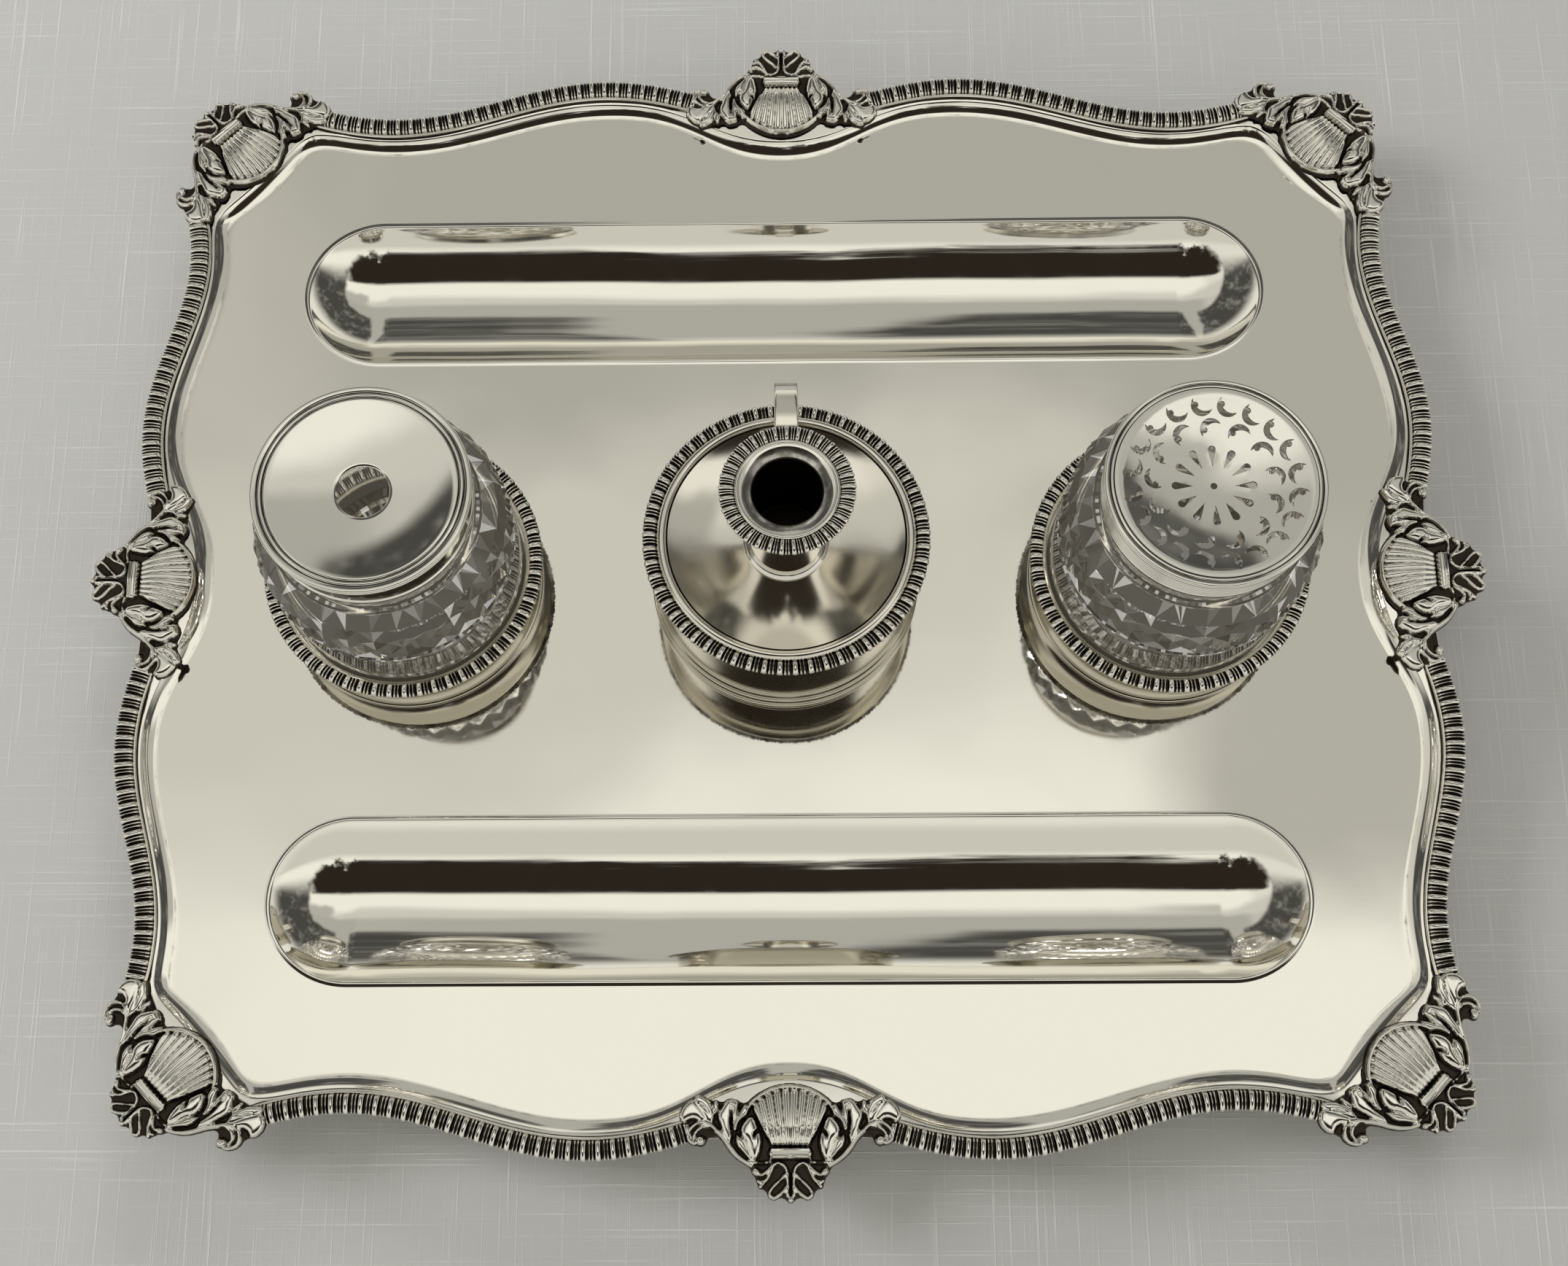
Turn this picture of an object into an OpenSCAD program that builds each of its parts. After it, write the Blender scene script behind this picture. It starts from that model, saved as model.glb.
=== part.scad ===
// Desk inkstand: shaped tray with gadroon border and shell mounts, two cut-glass
// bottles in ring holders, and a wafer box under a taperstick cover.
// Millimetres, +Z up, +X to the right, +Y to the back. The origin is on the
// table, under the middle of the tray. The feet stand on z = 0.

/* [Tray] */
// Length over the tips of the side mounts
tray_l = 370; // [350:1:400]
// Width over the tips of the front and back mounts
tray_w = 322.5; // [305:0.5:345]
// Height of the tray's floor above the table
floor_z = 19; // [16:0.5:26]
// Thickness of the tray's sheet
sheet = 1.3; // [1:0.1:2]
// Rise of the hollow rim from the floor to the flange
rim_rise = 2.9; // [2:0.1:6]
// Distance from the line of the border to the foot of the hollow rim
rim_in = 7.5; // [6.5:0.1:10]
// How far the hollow rim swings inward at the front and back mounts
bay_long = 14; // [8:0.5:18]
// How far the hollow rim swings inward at the side mounts
bay_short = 12; // [8:0.5:16]

/* [Border] */
// How far a middle mount's tip stands out beyond the crest of the border
tip_reach = 12.6; // [11:0.1:15]
// Half height of the wave in the front and back borders
wave_long = 5.8; // [2:0.1:7]
// Half height of the wave in the side borders
wave_short = 4.6; // [2:0.1:6]
// Width of the gadroon strip
gad_w = 5.1; // [4:0.1:6]
// Height of a gadroon lobe above the flange
gad_h = 1.8; // [1.2:0.1:2.6]
// Spacing of the gadroon lobes
gad_pitch = 3.7; // [3:0.1:6]
// Height of a cast mount above the flange, at its crown
mount_h = 4.2; // [3:0.1:6]

/* [Pen troughs] */
// Overall length of a pen trough
trough_l = 264.8; // [220:0.2:270]
// Width of a pen trough at the floor
trough_w = 41.5; // [30:0.5:46]
// Depth of a pen trough below the floor
trough_d = 9.5; // [5:0.1:13]
// Distance of each trough's middle line from the middle of the tray
trough_y = 85.8; // [80:0.2:90]

/* [Feet] */
// Radius of a foot's upper pad
foot_r = 9.5; // [7:0.1:11]
// Distance of a foot from the end of the tray, along X
foot_in_x = 53; // [50:0.5:60]
// Distance of a foot from the side of the tray, along Y
foot_in_y = 49; // [45:0.5:52]

/* [Holders and bottles] */
// Distance of each bottle from the end of the tray, along X
bottle_in = 85.8; // [75:0.1:100]
// Height of a holder's rim above the floor
holder_h = 14.2; // [10:0.1:22]
// Outer radius of a holder's gadroon rim
holder_r = 36.3; // [35.5:0.1:39]
// Thickness of a holder's wall
holder_wall = 1.2; // [0.8:0.1:2]
// Radius of the bottle's body where it stands in the holder
glass_r = 31.3; // [28:0.1:32]
// Height of the bottle's plain lower body
glass_plain_h = 30; // [24:0.5:34]
// Height of the diamond-cut band, up to the shoulder's top
cut_h = 19; // [14:0.5:24]
// Depth of the diamond cutting
cut_d = 1.4; // [0.6:0.1:2]
// Radius of the glass neck
neck_r = 24.1; // [20:0.1:25]
// Height of the glass neck
neck_h = 13.8; // [12:0.1:18]
// Thickness of the glass at the neck
neck_wall = 3.1; // [2:0.1:5]
// Thickness of the glass under the well
glass_base = 6; // [4:0.5:12]
// Gap between a bottle and its holder
holder_gap = 0.5; // [0.3:0.05:1]

/* [Caps] */
// Outer radius of a cap's reeded rim
cap_r = 25.9; // [25.7:0.1:28]
// Thickness of a cap's rim, where it rests on the glass
cap_top = 1; // [0.8:0.1:1.6]
// Thickness of the dished tops of the caps
dish_t = 0.6; // [0.4:0.1:0.8]
// Depth of the ink cap's dish
ink_dish = 2.4; // [1:0.1:4]
// Depth of the pounce cap's pierced dish
pounce_dish = 2.8; // [1:0.1:4]
// Radius at which the dishes of the caps start
dish_edge = 22.2; // [18:0.1:22.4]
// Length of a cap's sleeve below its rim
sleeve_h = 8.2; // [6:0.1:11]
// Thickness of a cap's sleeve
sleeve_wall = 0.7; // [0.5:0.1:1]
// Gap between a sleeve and the glass neck
cap_gap = 0.15; // [0.1:0.05:0.4]
// Radius of the ink cap's dipping hole
dip_r = 6.4; // [4:0.1:9]
// Radius of the pounce cap's middle hole
sift_r = 0.8; // [0.5:0.1:1.5]

/* [Wafer box and taperstick] */
// Outer radius of the box's wall
box_r = 33.4; // [31.5:0.1:34]
// Height of the box above the floor
box_h = 29.6; // [22:0.1:40]
// Thickness of the box's wall
box_wall = 1.2; // [0.8:0.1:2]
// Outer radius of the cover's gadroon rim
cover_r = 36.1; // [35.6:0.1:39]
// Depth of the cover's drip pan, from its edge down to the socket
pan_depth = 3.4; // [1:0.1:4]
// Radius of the drip pan's edge
pan_r = 30; // [28:0.1:31]
// Depth of the ring under the cover that drops into the box
bezel_h = 3; // [2:0.1:6]
// Gap between that ring and the box
bezel_gap = 0.2; // [0.1:0.05:0.5]
// Outer radius of the candle socket
socket_r = 9.6; // [9.2:0.1:12]
// Height of the candle socket
socket_h = 30.9; // [24:0.1:34]
// Width of the finger loop's strap
strap_w = 5.7; // [4:0.1:8]
// Thickness of the finger loop's strap
strap_t = 1.2; // [0.8:0.1:1.6]
// Outer radius of the finger loop
loop_r = 12.8; // [11:0.1:13]
// Outer radius of the nozzle's gadroon rim
nozzle_r = 16.2; // [14:0.1:18]
// Inner radius of the nozzle, which takes the taper
taper_r = 8.4; // [7.5:0.1:8.4]
// Length of the nozzle's tube below its flange
tube_l = 18; // [12:0.1:19]
// Thickness of the nozzle's tube
tube_wall = 0.55; // [0.4:0.05:0.55]
// Gap between the nozzle's tube and the socket
tube_gap = 0.05; // [0.02:0.01:0.1]

/* [Hidden] */
$fn = 96;

// Heights of the tray, and the bottles' place
bottle_x = tray_l / 2 - bottle_in;
flange_z = floor_z + rim_rise;
under_z = floor_z - sheet;

// The border's line: a cosine wave with its crest near each middle mount and its
// hollow near each corner. Places are taken from the tips of the mounts.
crest_x = tray_l / 2 - tip_reach;
crest_y = tray_w / 2 - tip_reach;
mid_gap = 24;                        // from a middle mount's centre to a strip's end
long_crest = 50;                     // along X, where the long border is widest
short_crest = 44;                    // along Y, where the short border is widest
long_dip = tray_l / 2 - 75;          // along X, where the long border is narrowest
short_dip = tray_w / 2 - 67.25;      // along Y, where the short border is narrowest
long_end = tray_l / 2 - 51;          // along X, the corner end of a long strip
short_end = tray_w / 2 - 53.25;      // along Y, the corner end of a short strip
function wave(t, crest, dip, top, amp) =
  top - amp + amp * cos(180 * (t - crest) / (dip - crest));
function long_y(x) = wave(x, long_crest, long_dip, crest_y, wave_long);
function short_x(y) = wave(y, short_crest, short_dip, crest_x, wave_short);
function long_pt(x) = [x, long_y(x)];
function short_pt(y) = [short_x(y), y];

// The foot of the hollow rim follows the border, and swings inward at each mount.
bay_half = 41;
function swing(t) = t >= bay_half ? 0 : 1 - pow((1 - cos(180 * t / bay_half)) / 2, 1.25);
function long_foot(x) = [x, (x > bay_half ? long_y(x) : mid_line(x, long_crest, crest_y,
  wave_long, long_dip)) - rim_in - bay_long * swing(x)];
function short_foot(y) = [(y > bay_half ? short_x(y) : mid_line(y, short_crest, crest_x,
  wave_short, short_dip)) - rim_in - bay_short * swing(y), y];
function mid_line(t, crest, top, amp, dip) = let (join = wave(bay_half, crest, dip, top, amp))
  top + (join - top) * pow(min(1, t / bay_half), 2);
function bow(a, b, t, sag) = a + (b - a) * t + sag * sin(180 * t)
  * [(b - a)[1], -(b - a)[0]] / norm(b - a);

// One quarter of both lines, from +X round to +Y, point by point. "G" is the edge
// of the sheet under the border, "F" the foot of the hollow rim.
n_bay = 5;
n_short = 14;
n_corner = 7;
n_long = 18;
edge_out = gad_w / 2 - 0.6;
mid_edge = 1.5;
function quarter_G() = concat(
  [for (i = [0:n_bay - 1]) let (t = i / n_bay)
    [short_x(mid_gap) + edge_out - mid_edge * (1 - t), mid_gap * t]],
  [for (i = [0:n_short - 1]) short_pt(mid_gap + (short_end - mid_gap) * i / n_short)
    + [edge_out, 0]],
  [for (i = [0:n_corner]) bow(short_pt(short_end) + [edge_out, 0],
    long_pt(long_end) + [0, edge_out], i / n_corner, 6)],
  [for (i = [1:n_long]) long_pt(long_end - (long_end - mid_gap) * i / n_long)
    + [0, edge_out]],
  [for (i = [1:n_bay]) let (t = 1 - i / n_bay)
    [mid_gap * t, long_y(mid_gap) + edge_out - mid_edge * (1 - t)]]);
function quarter_F() = concat(
  [for (i = [0:n_bay - 1]) short_foot(mid_gap * i / n_bay)],
  [for (i = [0:n_short - 1]) short_foot(mid_gap + (short_end - mid_gap) * i / n_short)],
  [for (i = [0:n_corner]) bow(short_foot(short_end), long_foot(long_end), i / n_corner, -2.3)],
  [for (i = [1:n_long]) long_foot(long_end - (long_end - mid_gap) * i / n_long)],
  [for (i = [1:n_bay]) long_foot(mid_gap * (1 - i / n_bay))]);
function flip(q, sx, sy) = [for (p = q) [p[0] * sx, p[1] * sy]];
function back(q) = [for (i = [len(q) - 1:-1:0]) q[i]];
function inner(q) = [for (i = [1:len(q) - 2]) q[i]];
function all_round(q) = concat(q, back(inner(flip(q, -1, 1))), [[-q[0][0], q[0][1]]],
  inner(flip(q, -1, -1)), [[q[len(q) - 1][0], -q[len(q) - 1][1]]], back(inner(flip(q, 1, -1))));
G = all_round(quarter_G());
F = all_round(quarter_F());
n_round = len(G);

// Width of the hollow: wider where the rim swings in round a mount.
function hollow_w(i) = let (d = norm(G[i] - F[i])) 4.3 + 0.16 * max(0, d - 9.5);
function line_at(w) = [for (i = [0:n_round - 1]) F[i] + (G[i] - F[i]) / norm(G[i] - F[i]) * w[i]];
function flat_list(w) = [for (i = [0:n_round - 1]) w];
function hollow_list(k, add) = [for (i = [0:n_round - 1]) hollow_w(i) * k + add];
function at_z(line, z) = [for (p = line) [p[0], p[1], z]];

// A closed skin from a list of rings of equal length: rings run from the middle
// of the top, over the edge, to the middle of the bottom.
function skin_faces(m, n) = concat(
  [[for (j = [n - 1:-1:0]) j]],
  [for (k = [0:m - 2], j = [0:n - 1]) let (a = k * n + j, b = k * n + (j + 1) % n)
    [a, b, b + n]],
  [for (k = [0:m - 2], j = [0:n - 1]) let (a = k * n + j, b = k * n + (j + 1) % n)
    [a, b + n, a + n]],
  [[for (j = [0:n - 1]) (m - 1) * n + j]]);
module skin(rings) {
  polyhedron(points = [for (r = rings, p = r) p], faces = skin_faces(len(rings), len(rings[0])));
}

// A pen trough's hollow: a round channel with round ends. "grow" makes it larger.
trough_R = (pow(trough_w / 2, 2) + pow(trough_d, 2)) / (2 * trough_d);
trough_run = trough_l / 2 - trough_w / 2;
module channel(sy, grow) {
  translate([0, sy * trough_y, floor_z - trough_d + trough_R]) {
    rotate([0, 90, 0]) cylinder(r = trough_R + grow, h = 2 * trough_run, center = true);
    translate([trough_run, 0, 0]) sphere(r = trough_R + grow);
    translate([-trough_run, 0, 0]) sphere(r = trough_R + grow);
  }
}

module tray_sheet() {
  skin([
    at_z(F, floor_z),
    at_z(line_at(hollow_list(0.62, 0)), floor_z + 0.22 * rim_rise),
    at_z(line_at(hollow_list(0.92, 0)), floor_z + 0.62 * rim_rise),
    at_z(line_at(hollow_list(1, 0)), flange_z),
    at_z(G, flange_z),
    at_z(G, flange_z - sheet),
    at_z(line_at(hollow_list(1, 0.8)), flange_z - sheet),
    at_z(line_at(flat_list(0.9)), under_z)]);
}

module tray() {
  color("silver") difference() {
    union() {
      tray_sheet();
      for (sy = [-1, 1]) intersection() {
        channel(sy, sheet);
        translate([0, sy * trough_y, floor_z - trough_d - 2 * sheet])
          linear_extrude(trough_d + sheet + 0.6) square([trough_l + 12, trough_w + 12], center = true);
      }
    }
    for (sy = [-1, 1]) intersection() {
      channel(sy, 0);
      translate([0, sy * trough_y, floor_z - trough_d - 1])
        linear_extrude(trough_d + 3) square([trough_l + 12, trough_w + 12], center = true);
    }
  }
}

// A strip of gadroons along a list of points: high and low rings by turns.
function strip_side(path, i) = let (a = path[max(0, i - 1)], b = path[min(len(path) - 1, i + 1)],
  d = (b - a) / norm(b - a)) [d[1], -d[0]];
module gadroon_strip(path, w, h, z) {
  n = len(path);
  pts = [for (i = [0:n - 1]) let (s = strip_side(path, i), hi = i % 2 == 1,
    k = hi ? 1 : 0.9, t = hi ? 1 : 0.45)
    for (q = [[-0.5 * w, 0], [-0.33 * w * k, h * t], [0.30 * w * k, h * t], [0.5 * w * k, 0]])
      [path[i][0] + s[0] * q[0], path[i][1] + s[1] * q[0], z + q[1]]];
  faces = concat([[0, 1, 2, 3]],
    [for (i = [0:n - 2], j = [0:3]) let (a = 4 * i + j, b = 4 * i + (j + 1) % 4) [a, a + 4, b + 4]],
    [for (i = [0:n - 2], j = [0:3]) let (a = 4 * i + j, b = 4 * i + (j + 1) % 4) [a, b + 4, b]],
    [[4 * n - 1, 4 * n - 2, 4 * n - 3, 4 * n - 4]]);
  polyhedron(points = pts, faces = faces);
}
function lobes(len_mm) = 2 * round(len_mm / gad_pitch);
module long_strip(sx, sy) {
  n = lobes(long_end - mid_gap);
  color("gainsboro") mirror([sx < 0 ? 1 : 0, 0, 0]) mirror([0, sy < 0 ? 1 : 0, 0])
    gadroon_strip([for (i = [0:n]) long_pt(long_end - (long_end - mid_gap) * i / n)],
      gad_w, gad_h, flange_z);
}
module short_strip(sx, sy) {
  n = lobes(short_end - mid_gap);
  color("gainsboro") mirror([sx < 0 ? 1 : 0, 0, 0]) mirror([0, sy < 0 ? 1 : 0, 0])
    gadroon_strip([for (i = [0:n]) short_pt(mid_gap + (short_end - mid_gap) * i / n)],
      gad_w, gad_h, flange_z);
}

// A cast shell mount, drawn round the middle of its collar. Angles run from the
// inward side: the scallop fan first, then the acanthus leaves and the scroll,
// then the palmette at the tip. Each side has its own table of reach by angle.
mid_reach = [[0, 16.2], [25, 16], [45, 15], [58, 13.6], [64, 13], [70, 17], [77, 21],
  [84, 22.6], [92, 21.5], [100, 13.5], [108, 10.4], [116, 10.2], [130, 10.6], [142, 10.2],
  [153, 11.4], [166, 11.6], [173, 12.4], [180, 13]];
long_reach = [[0, 16.8], [25, 16.6], [42, 15.4], [50, 15.6], [56, 21.4], [62, 23], [67, 24.4],
  [73, 24], [79, 23.4], [85, 22], [91, 16.5], [98, 11.4], [106, 10.2], [118, 10.4], [132, 10.8],
  [145, 10.4], [155, 11.4], [168, 11], [174, 11.4], [180, 11.6]];
short_reach = [[0, 16.8], [25, 16.6], [42, 15.4], [50, 16.5], [56, 24.4], [62, 25.9], [67, 26.6],
  [73, 24.6], [79, 23.4], [85, 22], [91, 16.5], [98, 11.4], [106, 10.2], [118, 10.4], [132, 10.8],
  [145, 10.4], [155, 11.4], [168, 11], [174, 11.4], [180, 11.6]];
n_cast = 48;
function cast_reach(a, left, right) = a <= 180 ? lookup(a, left) : lookup(360 - a, right);
function cast_rib(i, k) = k == 0 ? 1 : i % 2 == 0 ? 1 : 0.74;
// Height over the flange, by share of the way out: fan domed, leaves and tip lower.
function cast_up(a, k, i) = let (b = min(a, 360 - a), fan = b < 60,
  top = fan ? [0.6, 0.88, 1] : b < 100 ? [0.6, 0.74, 0.5] : [0.6, 0.7, 0.55])
  mount_h * top[k] * cast_rib(i, k);
module cast_mount(left, right) {
  function ring(f, k) = [for (i = [0:n_cast - 1]) let (a = i * 360 / n_cast,
    r = cast_reach(a, left, right) * f) [-r * cos(a), r * sin(a), k < 0 ? 0 : cast_up(a, k, i)]];
  color("silver") translate([0, 0, flange_z]) union() {
    skin([ring(0.3, 0), ring(0.68, 1), ring(0.9, 2), [for (p = ring(1, 0)) [p[0], p[1], 0.7]],
      ring(1, -1)]);
  }
}
module mid_mount() {
  cast_mount(mid_reach, mid_reach);
}
collar_in = 13;                      // from a middle mount's tip back to its collar
corner_x = tray_l / 2 - 28.2;
corner_y = tray_w / 2 - 27.25;
module corner_mount(sx, sy) {
  mirror([sx < 0 ? 1 : 0, 0, 0]) mirror([0, sy < 0 ? 1 : 0, 0])
    translate([corner_x, corner_y, 0]) rotate([0, 0, 45]) cast_mount(long_reach, short_reach);
}

// A cast foot, turned, from the tray's underside down to the table.
module foot(sx, sy) {
  h = under_z;
  color("silver") translate([sx * (tray_l / 2 - foot_in_x), sy * (tray_w / 2 - foot_in_y), 0])
    rotate_extrude() difference() {
      polygon([[0, 0], [foot_r * 0.74, 0], [foot_r * 0.84, 1], [foot_r * 0.84, 2], [foot_r * 0.6, 3.2],
        [foot_r * 0.6, h - 4], [foot_r * 0.8, h - 2], [foot_r, h - 1.2], [foot_r, h], [0, h]]);
      translate([foot_r * 0.6 + 2.6, h / 2]) circle(r = 4);
    }
}

// A round gadroon rim, standing on z, between two radii.
module gadroon_ring(r_in, r_out, h, z, pitch) {
  n = 2 * round(180 * 2 / (pitch / ((r_in + r_out) / 2) * 180 / PI));
  function pt(i, r, u) = [r * cos(360 * i / n), r * sin(360 * i / n), z + u];
  w = r_out - r_in;
  pts = [for (i = [0:n - 1]) let (hi = i % 2 == 1, k = hi ? 1 : 0.88, t = hi ? 1 : 0.5)
    for (q = [[0, 0], [0.16 * w, h * t], [0.78 * w * k, h * t], [w * k, 0]])
      pt(i, r_in + q[0], q[1])];
  faces = concat(
    [for (i = [0:n - 1], j = [0:3]) let (a = 4 * i + j, b = 4 * i + (j + 1) % 4,
      c = 4 * ((i + 1) % n) + j, d = 4 * ((i + 1) % n) + (j + 1) % 4) [a, d, c]],
    [for (i = [0:n - 1], j = [0:3]) let (a = 4 * i + j, b = 4 * i + (j + 1) % 4,
      d = 4 * ((i + 1) % n) + (j + 1) % 4) [a, b, d]]);
  polyhedron(points = pts, faces = faces);
}

// Holder: a ring wall with a reeded foot and a flange that carries the gadroon rim.
holder_in = glass_r + holder_gap;
holder_out = holder_in + holder_wall;
rim_h = 1.8;
module holder(sx) {
  color("silver") translate([sx * bottle_x, 0, floor_z]) rotate_extrude() difference() {
    union() {
      translate([holder_in, 0]) square([holder_wall, holder_h]);
      translate([holder_in, 0]) square([holder_wall + 1.7, 1.2]);
      translate([holder_in, 1.2]) square([holder_wall + 1.1, 0.6]);
      translate([holder_out + 0.4, 2.5]) circle(r = 0.8);
      translate([holder_in, 1.2]) square([holder_wall + 0.7, 1.4]);
      translate([holder_in, holder_h - 1]) square([holder_r - 1 - holder_in, 1]);
    }
    translate([0, -1]) square([holder_in, holder_h + 2]);
  }
}
module holder_rim(sx) {
  color("gainsboro") translate([sx * bottle_x, 0, 0])
    gadroon_ring(holder_in, holder_r, rim_h, floor_z + holder_h, gad_pitch);
}

// Glass: plain body, a band of raised diamonds over the shoulder, then the neck.
shoulder_r = neck_r + 2.2;
n_cut = 36;
rows = 6;
cut_z = floor_z + glass_plain_h;
neck_z = cut_z + cut_h;
mouth = 1.2;                         // size of the bevel inside the glass's mouth
function cut_radius(k) = let (t = k / rows) t < 0.68 ? glass_r - 0.4
  : glass_r - 0.4 - (glass_r - 0.4 - shoulder_r) * pow((t - 0.68) / 0.32, 1.4);
module glass(sx) {
  function row(k) = [for (i = [0:n_cut - 1]) let (edge = k == 0 || k == rows,
    r = cut_radius(k) + (edge ? 0 : (i + k) % 2 == 0 ? cut_d : 0))
    [r * cos(360 * i / n_cut), r * sin(360 * i / n_cut), cut_z + cut_h * k / rows]];
  color([0.75, 0.85, 0.85, 0.6]) translate([sx * bottle_x, 0, 0]) difference() {
    union() {
      translate([0, 0, floor_z]) cylinder(r1 = glass_r - 1.5, r2 = glass_r, h = 1.5);
      translate([0, 0, floor_z + 1.5]) cylinder(r = glass_r, h = glass_plain_h - 1.5);
      skin([for (k = [rows:-1:0]) row(k)]);
      translate([0, 0, neck_z - 1]) cylinder(r = shoulder_r - 0.6, h = 2);
      translate([0, 0, neck_z]) cylinder(r = neck_r, h = neck_h);
    }
    translate([0, 0, floor_z + glass_base])
      cylinder(r = neck_r - neck_wall, h = neck_z + neck_h);
    translate([0, 0, cap_seat - mouth])
      cylinder(r1 = neck_r - neck_wall, r2 = neck_r - neck_wall + 2 * mouth, h = 2 * mouth);
  }
}

// A dished sheet seen in section: flat out to "flat", then curving up by "deep" to
// "edge", where its top is at "top". "t" is its thickness.
module under_dish(flat, edge, deep, top, low) {
  R = (pow(edge - flat, 2) + pow(deep, 2)) / (2 * deep);
  difference() {
    translate([0, low]) square([edge, top - low]);
    translate([-1, top - deep]) square([flat + 1, deep + 1]);
    translate([flat, top - deep + R]) circle(r = R, $fn = 400);
  }
}
module dished_sheet(flat, edge, deep, top, t) {
  difference() {
    under_dish(flat, edge, deep, top, top - deep - 2 * t);
    under_dish(flat, edge, deep, top - t, top - deep - 3 * t);
  }
}

// Caps: a reeded rim round a dished top, and a sleeve over the neck.
cap_seat = neck_z + neck_h;
sleeve_in = neck_r + cap_gap;
sleeve_out = sleeve_in + sleeve_wall;
reed = 0.45;
cap_rim_h = 1.8;
module cap_body(hole, reeds) {
  rotate_extrude() difference() {
    union() {
      translate([dish_edge, cap_seat]) square([cap_r - reed - dish_edge, cap_top]);
      translate([sleeve_in, cap_seat + cap_top - cap_rim_h]) square([cap_r - reed - sleeve_in, cap_rim_h]);
      dished_sheet(0, dish_edge, ink_dish, cap_seat + cap_top, dish_t);
      translate([dish_edge - 0.5, cap_seat + cap_top - dish_t]) square([1, dish_t]);
      translate([cap_r - reed, cap_seat + cap_top - reed]) circle(r = reed);
      translate([cap_r - reed, cap_seat + cap_top - 3 * reed]) circle(r = reed);
      translate([sleeve_in, cap_seat - sleeve_h]) square([sleeve_wall, sleeve_h + 0.1]);
      translate([sleeve_in, cap_seat - sleeve_h]) square([sleeve_wall + 0.3, 1]);
      for (i = [0:reeds - 1]) translate([sleeve_out, cap_seat - 1.6 - 0.7 * i]) circle(r = 0.3);
    }
    translate([-1, cap_seat - 10]) square([hole + 1, cap_top + 12]);
    translate([cap_r - 4 * reed, cap_seat + cap_top]) circle(r = 0.25);
  }
}
module ink_cap_body() {
  cap_body(dip_r, 0);
}

// The pierced disc lies in a ledge of its cap. Petals round the middle, then two
// rings of curved leaves that turn opposite ways.
disc_r = cap_r - 3 * reed - 1;
disc_gap = 0.05;
disc_t = dish_t;
module petal() {
  translate([9, 0]) circle(r = 0.95);
  polygon([[4.8, 0], [8.9, 0.92], [8.9, -0.92]]);
}
module leaf_cut(turn) {
  difference() {
    circle(r = 2.6);
    translate([1.8, 0]) circle(r = 2.9);
  }
  translate([-0.7, turn * 1.35]) circle(r = 0.75);
}
module pierced() {
  difference() {
    circle(r = disc_r - disc_gap);
    circle(r = sift_r);
    for (i = [0:11]) rotate(30 * i) petal();
    for (i = [0:12]) rotate(360 * i / 13 + 7) translate([13.9, 0]) rotate(216) leaf_cut(-1);
    for (i = [0:19]) rotate(18 * i + 6) translate([19.6, 0]) rotate(-35) leaf_cut(1);
  }
}

// Wafer box and its taperstick cover
box_in = box_r - box_wall;
box_top = floor_z + box_h;
plate = 1.1;
bead = 2.5;                          // width of the moulding round the drip pan
bead_r = 1.35;                       // radius of its round top
land_r = socket_r + 1.4;
pan_z = box_top + plate + 1.4;
bead_z = pan_z - 0.7;
land_z = pan_z - pan_depth;
socket_in = taper_r + tube_wall + tube_gap;
socket_floor = 2;
module box_body() {
  translate([0, 0, floor_z]) rotate_extrude() difference() {
    union() {
      square([box_r, box_h]);
      square([box_r + 1.9, 1.4]);
      square([box_r + 1.2, 3]);
      translate([box_r + 1, 3.4]) circle(r = 0.7);
      square([box_r + 0.6, 5.6]);
      translate([box_r + 0.4, 6]) circle(r = 0.5);
      translate([0, box_h - 1.6]) square([box_r + 0.5, 1.6]);
    }
    translate([-1, plate]) square([box_in + 1, box_h + 1]);
  }
}
module cover_profile() {
  dished_sheet(land_r, pan_r, pan_depth, pan_z, plate);
  translate([pan_r - 1.5, box_top]) square([cover_r - 1 - pan_r + 1.5, plate]);
  translate([pan_r - 1.5, box_top]) square([1.5, pan_z - 0.7 - box_top]);
  translate([pan_r - 0.1, box_top]) square([bead + 0.1, bead_z - box_top]);
  translate([pan_r + bead - bead_r, bead_z]) circle(r = bead_r);
  translate([box_in - bezel_gap - 1, box_top - bezel_h]) square([1, bezel_h]);
}
module cover_solid() {
  rotate_extrude() cover_profile();
}
module socket_solid() {
  rotate_extrude() difference() {
    union() {
      translate([0, land_z]) square([socket_r, socket_h]);
      translate([0, land_z]) square([socket_r + 1.2, 0.6]);
      translate([socket_r + 0.2, land_z + 0.9]) circle(r = 0.5);
    }
    translate([-1, land_z + socket_floor]) square([socket_in + 1, socket_h]);
  }
}
socket_top = land_z + socket_h;
loop_y = socket_r + loop_r - 0.5;
loop_clear = 0.6;                    // the ring stands this far above the drip pan's curve
loop_z = land_z + loop_r + loop_clear + pow(loop_y - land_r, 2) * pan_depth / pow(pan_r - land_r, 2);
module loop_solid() {
  difference() {
    translate([0, loop_y, loop_z]) rotate([0, 90, 0]) difference() {
      cylinder(r = loop_r, h = strap_w, center = true);
      cylinder(r = loop_r - strap_t, h = strap_w + 1, center = true);
    }
    translate([0, 0, land_z]) cylinder(r = socket_r, h = socket_h);
    translate([0, 0, land_z]) cylinder(r = socket_r + 1.2, h = 0.6);
    rotate_extrude() under_dish(land_r, pan_r, pan_depth, pan_z, box_top);
  }
}
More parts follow.
